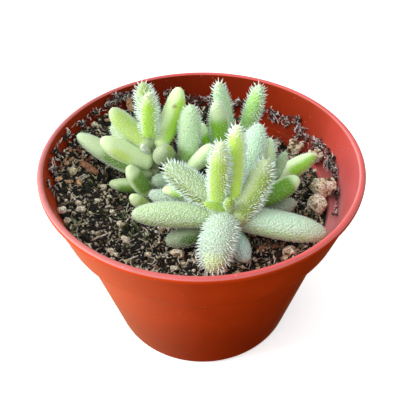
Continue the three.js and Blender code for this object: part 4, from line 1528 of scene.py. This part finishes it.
BARK_BITS = (
    Bit(-33.5, 4.7, 6.4, 2.3, 1.3, 0.6, -24, -25), Bit(-40.2, -4.2, 2.6, 1.6, 1.0, 0.95, 60, -10),
    Bit(-38.2, -3.6, 3.8, 1.3, 0.9, 0.85, 34, -22), Bit(-35.1, -2.5, 2.4, 1.5, 1.1, 1.0, 100, 10),
    Bit(-24.0, 33.0, 4.8, 2.4, 1.3, 0.95, 126, 72, 1.9), Bit(-39.2, 8.6, 2.6, 1.1, 0.8, 0.6, 110, 12),
    Bit(-36.1, 8.4, 2.2, 1.0, 0.8, 0.45, 20, -10), Bit(-40.2, 4.6, 2.3, 0.9, 0.7, 0.7, 75, 5),
    Bit(-37.6, 6.9, 2.8, 1.1, 0.8, 0.35, -30, -15), Bit(-38.6, 5.6, 2.0, 1.0, 0.7, 0.75, 50, 20),
    Bit(-37.0, 10.2, 2.4, 1.1, 0.7, 0.5, -50, -10), Bit(-34.6, 8.0, 1.9, 1.0, 0.8, 0.25, 15, -8),
    Bit(-40.4, 0.8, 2.2, 1.0, 0.7, 0.55, 95, 10), Bit(-30.5, 25.6, 2.2, 1.2, 0.9, 0.95, 35, -10),
    Bit(27.0, 3.0, 2.6, 1.0, 0.6, 0.3, 25, 8), Bit(31.3, 9.6, 2.4, 1.3, 0.9, 0.4, 70, 10),
    Bit(33.4, 8.2, 1.8, 1.1, 0.9, 0.7, 130, 20), Bit(10.8, -33.0, 2.2, 1.0, 0.7, 0.5, 10, 6),
    Bit(20.0, -20.6, 2.2, 1.3, 1.0, 0.6, 20, 10), Bit(21.9, -19.6, 1.8, 1.3, 1.0, 0.85, 80, 15),
    Bit(18.0, -19.4, 2.4, 1.2, 0.9, 0.4, 130, 5), Bit(16.2, -21.9, 2.0, 1.3, 0.9, 0.7, 45, 10),
    Bit(22.0, -23.2, 2.0, 1.2, 0.9, 0.5, 100, 10), Bit(-11.4, -14.9, 2.2, 1.1, 0.8, 0.9, 60, 10),
    Bit(-39.4, 2.6, 2.0, 1.0, 0.8, 0.9, 10, 25), Bit(-37.4, 3.6, 2.4, 0.9, 0.7, 0.8, 130, 15),
    Bit(-36.2, 1.2, 2.0, 1.0, 0.8, 0.5, -60, 20), Bit(-35.8, 6.0, 2.2, 0.9, 0.7, 0.9, 80, 25),
    Bit(-38.6, 9.9, 2.0, 0.9, 0.7, 0.85, 5, 20), Bit(-33.8, 9.4, 2.2, 1.0, 0.8, 0.7, 60, 25),
)

STICKS = (
    Bit(-24.2, -19.9, 5.2, 0.5, 0.4, 1.0, 65, -14, 0.3),
    Bit(-26.8, -21.2, 6.2, 0.45, 0.4, 0.75, 50, -18, 0.3),
    Bit(-36.4, -11.7, 7.0, 0.6, 0.5, 0.12, 48, -17, 0.4),
    Bit(-35.4, -7.2, 4.2, 0.4, 0.35, 0.8, 63, -18, 0.4),
    Bit(-32.0, -18.2, 4.4, 0.35, 0.3, 0.6, 20, -16, 0.4),
    Bit(-29.2, -26.0, 4.2, 0.4, 0.35, 0.5, -38, 0, 0.4), Bit(-18.2, -26.3, 3.8, 0.4, 0.35, 0.85, 30, 0, 0.4),
    Bit(-12.6, -31.0, 3.4, 0.4, 0.3, 0.7, 75, 4, 0.4), Bit(-16.4, -18.4, 3.6, 0.35, 0.3, 0.6, 150, 4, 0.4),
    Bit(-22.6, 34.2, 4.6, 0.8, 0.7, 0.05, 55, 40, 2.6), Bit(28.8, 5.4, 3.6, 0.4, 0.3, 1.0, 30, 6, 0.4),
    Bit(29.4, 1.6, 3.2, 0.35, 0.3, 0.9, 150, 6, 0.4), Bit(27.4, -4.6, 3.0, 0.35, 0.3, 0.8, 60, 6, 0.4),
    Bit(33.6, -10.2, 3.2, 0.35, 0.3, 0.7, 100, 6, 0.4),
)

GRAIN_BITS = (
    Bit(-29.1, 0.3, 2.0, 1.7, 1.5, 0.75), Bit(-27.2, -2.8, 1.5, 1.7, 1.3, 1.0),
    Bit(-30.0, -6.1, 1.7, 1.4, 1.2, 1.0), Bit(-27.1, -6.3, 1.8, 1.5, 1.3, 0.95, 40),
    Bit(-33.3, -12.1, 2.6, 2.1, 1.6, 0.9, 10), Bit(-34.2, -10.4, 1.6, 1.4, 1.2, 0.8),
    Bit(-31.4, -11.5, 2.1, 1.8, 1.6, 0.5, 40), Bit(-37.0, -16.2, 2.3, 2.0, 1.8, 1.0),
    Bit(-35.8, -17.6, 1.8, 1.6, 1.4, 1.0, 30), Bit(-22.8, -13.7, 1.8, 1.5, 1.3, 0.9, 60),
    Bit(-20.6, -19.2, 3.0, 2.1, 1.8, 0.8, -35), Bit(-14.1, -24.7, 1.9, 1.5, 1.3, 0.75),
    Bit(-4.6, -25.8, 2.4, 2.3, 2.0, 0.7), Bit(-7.1, -28.7, 2.0, 1.5, 1.3, 0.95),
    Bit(-11.4, -13.6, 2.3, 1.7, 1.5, 0.55, 15), Bit(-9.4, -13.6, 1.4, 1.3, 1.1, 0.8),
    Bit(-23.6, -25.4, 1.6, 1.4, 1.2, 0.9), Bit(-29.4, -18.8, 1.2, 1.0, 0.9, 0.85),
    Bit(-37.6, -10.2, 1.2, 1.0, 1.0, 1.0), Bit(-36.8, -8.4, 1.4, 1.1, 1.0, 0.5),
    Bit(-38.0, 1.6, 3.2, 2.4, 2.0, 0.55, -20), Bit(-34.2, 22.3, 2.3, 1.9, 1.7, 0.75),
    Bit(-22.0, 34.9, 1.4, 1.2, 1.2, 1.0, lift=4.2), Bit(-31.0, 27.6, 1.4, 1.2, 1.1, 0.9, lift=0.8),
    Bit(-19.0, -10.6, 1.5, 1.3, 1.1, 0.6), Bit(-25.4, -9.6, 1.3, 1.1, 1.0, 0.9),
    Bit(28.5, 7.5, 2.2, 1.8, 1.6, 0.6, 10), Bit(26.3, -1.4, 1.7, 1.4, 1.2, 0.55),
    Bit(30.5, 14.6, 1.8, 1.6, 1.4, 0.6, 35), Bit(31.8, 16.4, 1.7, 1.5, 1.3, 0.45, 80),
    Bit(28.6, 17.2, 1.6, 1.3, 1.2, 0.5, 20), Bit(35.2, 10.6, 1.5, 1.3, 1.2, 0.7, 20),
    Bit(19.5, -22.6, 1.7, 1.3, 1.1, 0.45), Bit(25.8, -22.0, 1.6, 1.3, 1.1, 0.7, 50),
    Bit(22.2, -25.2, 1.5, 1.2, 1.0, 0.6), Bit(9.2, -30.6, 1.7, 1.4, 1.0, 0.6, 30),
    Bit(30.6, -12.6, 1.6, 1.4, 1.3, 0.75), Bit(33.6, -4.2, 1.7, 1.4, 1.2, 0.4),
)


@dataclass(frozen=True)
class Grains:
    """A kind of loose grain: its sizes in millimetres, proportions, lift and tint.

    A grain measures least plus spread times u to the power few_large, u being random from 0 to 1. Its
    sides are that times slim to plump, it is lifted by a share of it, and it looks up its tint at u to
    the power tint_power.
    """

    count: int
    least: float
    spread: float
    few_large: float
    slim: Triple
    plump: Triple
    lift: float
    tint_power: float
    rings: int


@dataclass
class LooseBits:
    """All that lies loose on the mix: clods, grit, fibres, sticks and bits of bark."""

    mix: PottingMix
    clods: Grains = Grains(800, 0.5, 1.7, 2.2, (0.9, 0.6, 0.5), (1.4, 1.0, 0.8), 0.12, 3, 4)
    grit: Grains = Grains(2300, 0.35, 0.85, 3, (0.9, 0.7, 0.6), (1.4, 1.0, 0.9), 0.15, 0.55, 3)
    fibres: int = 2300
    fibre_azimuth: float = 40.0
    seed: int = 71

    EDGE, FIBRE_EDGE = 0.6, 0.8  # how far they stay from the mix's edge
    STEEPNESS = 0.4
    LUMPINESS = 0.4
    FIBRE_LENGTHS = (0.8, 3.4, 2.5)  # least, spread, and the power that makes long ones few
    FIBRE_SPREAD, FIBRE_STEEPNESS, FIBRE_BEND = 0.9, 0.3, 0.9
    FIBRE_HALF, FIBRE_LIFT, NEVER_STRAIGHT = 0.42, 0.25, 1e-3
    FIBRE_GIRTHS, FIBRE_FLATNESS, FIBRE_TINT = (0.09, 0.2), 0.7, 0.42
    FIBRE_PROFILE = (0.5, 0.9, 1.0, 0.85, 0.4)
    PLACED_ROWS, PLACED_SIDES, PLACED_LIFT = 14, 18, 0.2

    def frames(self, turn: Array, rise: Array) -> Array:
        """Frames from a turn about Z and a rise: the long axis, the level one and the third."""
        long_axis = turned(turn, np.cos(rise), np.sin(rise))
        side = xyz(-np.sin(turn), np.cos(turn))
        return np.stack([long_axis, side, np.cross(long_axis, side)], axis=1)

    def grains(self, random: Generator, kind: Grains) -> Shape:
        """Lumpy balls strewn on the mix: rings at equal angles from pole to pole, two sides more than rings.

        Args:
            random: source of their places and forms.
            kind: what they are like.

        Returns:
            Their shape.
        """
        count = kind.count
        seats = self.mix.seats(random, count, self.EDGE)
        size = kind.least + kind.spread * random.uniform(0, 1, count) ** kind.few_large
        sizes = 0.5 * size[:, None] * random.uniform(kind.slim, kind.plump, (count, 3))
        seats[:, 2] += kind.lift * size
        tint = random.uniform(0, 1, count) ** kind.tint_power
        turn = random.uniform(0, TURN, count)
        axes = self.frames(turn, random.normal(0, self.STEEPNESS, count))
        climb = math.pi * np.arange(1, kind.rings + 1) / (kind.rings + 1)
        shape = Shape()
        self.balls(shape, seats, sizes, axes, climb, np.sin(climb), kind.rings + 2, self.LUMPINESS, tint)
        return shape

    def balls(
        self, shape: Shape, centre: Array, half: Array, axes: Array, climb: Array, girth: Array,
        sides: int, rough: float, tint: Array,
    ) -> None:
        """Adds stretched balls: a ring lies minus cos(climb) half lengths along, as wide as its girth says.

        Args:
            shape: what they are added to.
            centre: their middles.
            half: half length, width and thickness of each.
            axes: for each, its long axis and the two across.
            climb: angles of the rings from pole to pole.
            girth: each ring's share of the full width.
            sides: points in a ring.
            rough: depth of lumps as a share of the girth.
            tint: each one's tint.
        """
        long_axis, side, other = (axes[:, None, i] for i in range(3))
        rows = centre[:, None] - (half[:, :1] * np.cos(climb))[..., None] * long_axis
        ends = centre[:, None] + half[:, :1, None] * np.array([-1, 1])[:, None] * long_axis
        wide, thick = half[:, 1:2] * girth, half[:, 2:] * girth
        shape.spindles(rows, side, other, wide, thick, ends, sides, rough=rough, tint=tint[:, None])

    def fibre_shape(self, random: Generator) -> Shape:
        """Slivers and fibres: arcs of a circle, thickest in the middle, lying every way on the crumbs."""
        count = self.fibres
        seats = self.mix.seats(random, count, self.FIBRE_EDGE)
        least, spread, few_long = self.FIBRE_LENGTHS
        length = least + spread * random.uniform(0, 1, count) ** few_long
        turn = math.radians(self.fibre_azimuth) + random.normal(0, self.FIBRE_SPREAD, count)
        frames = self.frames(turn, random.normal(0, self.FIBRE_STEEPNESS, count))
        t = np.linspace(-self.FIBRE_HALF, self.FIBRE_HALF, len(self.FIBRE_PROFILE))[None]
        bend = random.normal(0, self.FIBRE_BEND, count)[:, None] + self.NEVER_STRAIGHT
        rows, _, side = arcs(seats, frames[:, 0], frames[:, 1], length[:, None], bend, t)
        rows[..., 2] += self.FIBRE_LIFT
        other = np.broadcast_to(frames[:, None, 2], side.shape)
        girth = random.uniform(*self.FIBRE_GIRTHS, count)[:, None] * np.array(self.FIBRE_PROFILE)
        ends = np.stack([1.5 * rows[:, 0] - 0.5 * rows[:, 1], 1.5 * rows[:, -1] - 0.5 * rows[:, -2]], axis=1)
        tint = random.uniform(0, 1, (count, 1)) ** self.FIBRE_TINT
        shape = Shape()
        shape.spindles(rows, side, other, girth, self.FIBRE_FLATNESS * girth, ends, sides=4, tint=tint)
        return shape

    def placed(self, bits: tuple[Bit, ...], blunt: float, rough: float) -> Shape:
        """Adds bits in places of their own.

        Args:
            bits: what lies where.
            blunt: 1 for balls; less gives flatter sides and squarer ends.
            rough: depth of their lumps as a share of their girth.

        Returns:
            Their shape.
        """
        table = np.array([astuple(bit) for bit in bits])
        (x, y), half, (tint, turn, rise, lift) = table.T[:2], 0.5 * table[:, 2:5], table.T[5:]
        height = self.mix.relief(x, y)[0] + lift
        centre = xyz(x, y, height + self.PLACED_LIFT * 2 * half[:, 2])
        climb = np.radians(np.linspace(0, 180, self.PLACED_ROWS + 2)[1:-1])
        axes = self.frames(np.radians(turn), np.radians(rise))
        shape = Shape()
        girth = np.sin(climb) ** blunt
        self.balls(shape, centre, half, axes, climb, girth, self.PLACED_SIDES, rough, tint)
        return shape

    def build(self, materials: dict[Finish, Material]) -> list[Object]:
        """Makes one piece of each kind."""
        random = np.random.default_rng(self.seed)
        kinds = {
            "peat_clods": (self.grains(random, self.clods), Finish.CLOD, "soil"),
            "grit": (self.grains(random, self.grit), Finish.GRIT, "stone"),
            "peat_fibres": (self.fibre_shape(random), Finish.FIBRE, "soil"),
            "bark_bits": (self.placed(BARK_BITS, 0.45, 0.3), Finish.BARK, "soil"),
            "sticks": (self.placed(STICKS, 0.4, 0.2), Finish.FIBRE, "soil"),
            "small_pumice": (self.placed(GRAIN_BITS, 0.52, 0.46), Finish.PUMICE, "stone"),
        }
        made = []
        for name, (shape, finish, slot) in kinds.items():
            made.append(shape.piece(name, [materials[finish]]))
        return made


@dataclass
class TideLine:
    """Dried rootlets and crumbs that cling to the collar where the mix once stood higher.

    The line gives, by azimuth in degrees, the foot and the top of the band and how crowded it is.
    """

    pot: NurseryPot
    line: tuple[tuple[float, float, float, float], ...] = (
        (-16, 46.8, 48.2, 0.3), (-5, 46.9, 49.2, 0.4), (2, 47.2, 50.6, 0.6), (10, 48.0, 52.4, 1.2),
        (20, 48.2, 53.2, 1.2), (31, 48.2, 51.6, 1.0), (40, 48.2, 52.6, 1.0), (52, 48.8, 53.2, 1.0),
        (60, 49.4, 53.8, 0.9), (72, 49.4, 54.6, 0.7), (95, 50.4, 54.2, 0.7), (108, 53.4, 57.4, 0.4),
        (125, 55.6, 58.6, 0.12), (150, 57.0, 59.2, 0.14), (165, 57.6, 60.0, 0.2),
        (196, 57.0, 60.0, 0.22),
    )
    knots: tuple[tuple[float, float, float, int], ...] = (
        (131, 58.6, 1.7, 90), (126, 58.0, 1.3, 50), (136, 58.3, 1.0, 24), (144, 57.8, 0.8, 16),
        (152, 57.6, 0.8, 16), (41, 53.6, 0.7, 22), (24, 51.2, 0.9, 26), (11, 50.6, 1.0, 30),
        (-176, 56.6, 1.2, 30), (-167, 55.6, 0.8, 14), (174, 57.4, 1.2, 24), (163, 58.2, 0.9, 14),
    )
    rootlets: int = 640
    crumbs: int = 160
    thickness: float = 0.9
    seed: int = 91

    WANDER, WANDER_STEP = 2.6, 4  # degrees by which clumps stray, and how far apart in degrees
    CLUMP, CLUMP_STEP = 0.16, 3
    BETA = (2.2, 1.5)
    KNOT_SPREAD, KNOT_FLATNESS = 0.6, 0.7
    BELOW_RIM = 1.2
    OUTWARD, WAYWARDNESS = (-0.1, 0.5), 0.5
    CURLS, LENGTHS, GIRTHS = (0.5, 4.2), (0.8, 2.8), (0.1, 0.23)
    PROFILE = (0.8, 1, 1, 0.95, 0.85, 0.7, 0.4)
    NEAREST, ROOT_END, TIP_END = 0.15, 0.06, 0.1
    LIGHT_SHARE, LIGHT_GAIN, TINTS = 0.55, 0.65, 0.35
    CRUMB_SIZES, CRUMB_RINGS = (0.4, 1.3), (36, 72, 108, 144)
    CRUMB_OFF, CRUMB_GIRTH, CRUMB_TINTS, LUMPINESS = 0.35, 0.4, 0.8, 0.25

    def band(self, random: Generator, count: int) -> tuple[Array, Array]:
        """Azimuths and heights in the band, by how crowded it is, mostly near its top."""
        azimuth, foot, top, crowd = np.array(self.line).T
        weight = trapezia(crowd, azimuth)
        angle = np.interp(random.uniform(0, weight[-1], count), weight, azimuth)
        angle = angle + self.WANDER * noise(xyz(angle), self.WANDER_STEP, 12)
        share = self.CLUMP * noise(xyz(angle), self.CLUMP_STEP, 8) + random.beta(*self.BETA, count)
        return angle, np.interp(angle, azimuth, foot) * (1 - share) + np.interp(angle, azimuth, top) * share

    def tangled(self, random: Generator) -> tuple[Array, Array]:
        """Azimuths and heights in the knots: azimuth, height and spread in millimetres, and how many."""
        knots = np.array(self.knots)
        rows = np.repeat(knots, knots[:, 3].astype(int), axis=0)
        away = random.normal(0, self.KNOT_SPREAD, (len(rows), 2)) * rows[:, 2:3]
        height = rows[:, 1] + self.KNOT_FLATNESS * away[:, 1]
        return rows[:, 0] + np.degrees(away[:, 0] / self.pot.rim_radius), height

    def places(self, random: Generator, count: int) -> tuple[Array, Array, Array]:
        """Random places in the band and in the knots.

        Args:
            random: source of the places.
            count: how many lie in the band.

        Returns:
            Points on the collar's inner face, the direction out of it, and the level one along it.
        """
        band, tangled = self.band(random, count), self.tangled(random)
        angle, height = (np.concatenate(pair) for pair in zip(band, tangled))
        height, angle = np.minimum(height, self.pot.height - self.BELOW_RIM), np.radians(angle)
        out = xyz(-np.cos(angle), -np.sin(angle))
        level = xyz(-np.sin(angle), np.cos(angle))
        return turned(angle, self.pot.collar_inside(height), height), out, level

    def build(self, materials: list[Material]) -> Object:
        """Makes the piece: curled tubes and crumbs on the wall. A curl is an arc that turns by k."""
        random = np.random.default_rng(self.seed)
        shape = Shape()
        root, out, level = self.places(random, self.rootlets)
        count = len(root)
        turn = random.uniform(0, TURN, count)[:, None]
        along = np.cos(turn) * level + np.sin(turn) * UP
        along = unit(along + random.uniform(*self.OUTWARD, (count, 1)) * out)
        normal = np.cross(along, np.cross(out, along)) + random.normal(0, self.WAYWARDNESS, along.shape)
        bent = unit(np.cross(unit(normal), along))
        normal = np.cross(along, bent)
        t = np.linspace(0, 1, len(self.PROFILE))[None]
        curl = random.choice([-1, 1], count)[:, None] * random.uniform(*self.CURLS, count)[:, None]
        length = random.uniform(*self.LENGTHS, count)[:, None]
        root = root + random.uniform(self.NEAREST, self.thickness, count)[:, None] * out
        rows, heading, _ = arcs(root, along, bent, length, curl, t)
        side = np.broadcast_to(normal[:, None], heading.shape)
        girth = random.uniform(*self.GIRTHS, count)[:, None] * np.array(self.PROFILE)
        first, last = rows[:, 0] - self.ROOT_END * heading[:, 0], rows[:, -1] + self.TIP_END * heading[:, -1]
        light = (random.uniform(0, 1, count) < self.LIGHT_SHARE).astype(float)
        tint = random.uniform(0, self.TINTS, count) + self.LIGHT_GAIN * light
        ends, over = np.stack([first, last], axis=1), np.cross(heading, side)
        shape.spindles(rows, side, over, girth, girth, ends, sides=4, tint=tint[:, None])
        root, out, level = self.places(random, self.crumbs)
        size = random.uniform(*self.CRUMB_SIZES, len(root))[:, None]
        climb = np.radians(self.CRUMB_RINGS)
        centre = (root + self.CRUMB_OFF * size * out)[:, None]
        rows = centre - 0.5 * (size * np.cos(climb))[..., None] * level[:, None]
        ends = centre + 0.5 * size[..., None] * np.array([-1, 1])[:, None] * level[:, None]
        girth = self.CRUMB_GIRTH * size * np.sin(climb)
        up = np.broadcast_to(UP, level.shape)[:, None]
        across = np.cross(level[:, None], up)
        looks = {"rough": self.LUMPINESS, "tint": random.uniform(0, self.CRUMB_TINTS, len(root))[:, None]}
        shape.spindles(rows, up, across, girth, girth, ends, sides=6, slot=1, **looks)
        made = shape.piece("tide_line_rootlets", materials)
        return made


# The studio


@dataclass
class Studio:
    """A pale floor and dome, a large soft light from the left, a sky that brightens behind it, a camera."""

    camera_place: Triple = (1.76, -119.27, 154.2)
    camera_elevation: float = 43.77
    focal_length: float = 46.73
    sweep: float = 4000.0
    dome: float = 1900.0
    key_place: Triple = (-510.0, -90.0, 345.0)
    key_size: float = 340.0
    key_power: float = 2.8
    sky_level: float = 0.78
    sky_slope: float = 1.8
    sky_toward: Triple = (-0.99, 0.1, 0.0)
    warmth: str = "#FFEFC4"

    FLOOR_LINES, DOME_LINES, DOME_SIDES = 9, 9, 48
    AIM_HEIGHT = 45  # where on the plant the light is turned, in millimetres
    SENSOR, NEAREST = 36.0, 0.001  # the camera's sensor in millimetres, and its near limit in metres

    def build(self, floor_material: Material, dome_material: Material) -> None:
        """Makes the floor, the backdrop, the light, the sky and the camera."""
        scene = bpy.context.scene
        scene.view_settings.view_transform = "Standard"
        self.floor(floor_material)
        self.backdrop(dome_material)
        scene.world = self.sky()
        scene.collection.objects.link(self.window())
        scene.camera = self.viewer()
        scene.collection.objects.link(scene.camera)

    def floor(self, material: Material) -> None:
        """Makes the sweep. It throws no light back on the pot, as a dark bench wouldn't."""
        shape = Shape()
        line = np.linspace(-0.5, 0.5, self.FLOOR_LINES) * self.sweep
        x, y = np.meshgrid(line, line, indexing="xy")
        shape.add(xyz(x, y), grid_faces(self.FLOOR_LINES, self.FLOOR_LINES, closed=False))
        sweep = shape.piece("floor", [material])
        sweep.visible_diffuse = False
        sweep.visible_glossy = False

    def backdrop(self, material: Material) -> None:
        """Makes a white dome that shows behind the pot, and lets the sky's light through."""
        shape = Shape()
        turn = around(self.DOME_SIDES)[None]
        climb = np.linspace(0, 0.5 * math.pi, self.DOME_LINES)[:-1, None]
        wide = self.dome * np.cos(climb)
        rows = turned(turn, wide, self.dome * np.sin(climb))
        shape.add(rows[::-1], grid_faces(*rows.shape[:2]))
        dome = shape.piece("backdrop", [material])
        dome.visible_diffuse = dome.visible_glossy = dome.visible_transmission = dome.visible_shadow = False

    def sky(self) -> World:
        """Makes the sky: a level above the horizon, warm below it, and a rise toward the bright side."""
        world = bpy.data.worlds.new("soft_sky")
        world.use_nodes = True
        tree = world.node_tree
        tree.nodes.clear()
        way = node(tree, "TexCoord").outputs["Generated"]
        height = node(tree, "SeparateXYZ", {0: way}).outputs["Z"]
        limits = {"From Min": -0.1, "From Max": 0.1, "To Min": 0.0, "To Max": self.sky_level}
        level = node(tree, "MapRange", {"Value": height, **limits})
        toward = node(tree, "VectorMath", {0: way, 1: self.sky_toward}, operation="DOT_PRODUCT")
        slope = node(tree, "MapRange", {"Value": toward.outputs["Value"], "To Max": self.sky_slope})
        strength = node(tree, "Math", {0: level, 1: slope}, operation="ADD")
        cool = node(tree, "MapRange", {"Value": height, "From Min": -0.3, "From Max": 0.2})
        colour = node(tree, "Mix", {0: cool, MIX_A: self.warmth, MIX_B: "#FFFFFF"})
        glow = node(tree, "Background", {"Color": colour, "Strength": strength})
        node(tree, "OutputWorld", {"Surface": glow})
        return world

    def window(self) -> Object:
        """Makes the light from the left: a square that faces the plant."""
        light = bpy.data.lights.new("window", "AREA")
        light.shape, light.size, light.energy = "SQUARE", self.key_size * MM, self.key_power
        made = bpy.data.objects.new("window", light)
        made.location = [v * MM for v in self.key_place]
        x, y, z = self.key_place[0], self.key_place[1], self.key_place[2] - self.AIM_HEIGHT
        made.rotation_euler = (math.atan2(math.hypot(x, y), z), 0, math.atan2(y, x) + math.pi / 2)
        return made

    def viewer(self) -> Object:
        """Makes the camera, level from side to side and looking down by its elevation."""
        camera = bpy.data.cameras.new("camera")
        camera.lens, camera.sensor_width = self.focal_length, self.SENSOR
        camera.clip_start = self.NEAREST
        made = bpy.data.objects.new("camera", camera)
        made.location = [v * MM for v in self.camera_place]
        made.rotation_euler = (math.radians(90 - self.camera_elevation), 0, 0)
        return made


def main() -> None:
    """Builds the pieces in order."""
    logging.basicConfig(level=logging.INFO, format="%(message)s")
    finishes = {finish: finish.value.material() for finish in Finish}
    skins = {skin: skin.value.material() for skin in Skin}
    pot = NurseryPot()
    mix = PottingMix(pot)
    made = [pot.build(finishes[Finish.POT]), mix.build(finishes[Finish.MIX])]
    made += [Stem(name, plan).build(finishes[Finish.STEM]) for name, plan in STEMS.items()]
    for index, (name, plan) in enumerate(LEAVES.items()):
        leaf = Leaf(name, plan, FIRST_LEAF_SEED + LEAF_SEED_STEP * index)
        made.append(leaf.build([skins[plan.skin], finishes[Finish.BRISTLE]]))
    made += [Pumice(name, plan).build(finishes[Finish.PUMICE]) for name, plan in STONES.items()]
    made += LooseBits(mix).build(finishes)
    made.append(TideLine(pot).build([finishes[Finish.ROOTLET], finishes[Finish.CLOD]]))
    Studio().build(finishes[Finish.SWEEP], finishes[Finish.DOME])
    total = 0
    for piece in made:
        triangles = sum(len(face.vertices) - 2 for face in piece.data.polygons)
        total += triangles
        LOG.info("%s: %d triangles", piece.name, triangles)
    LOG.info("all pieces: %d triangles", total)


if __name__ == "__main__":
    main()
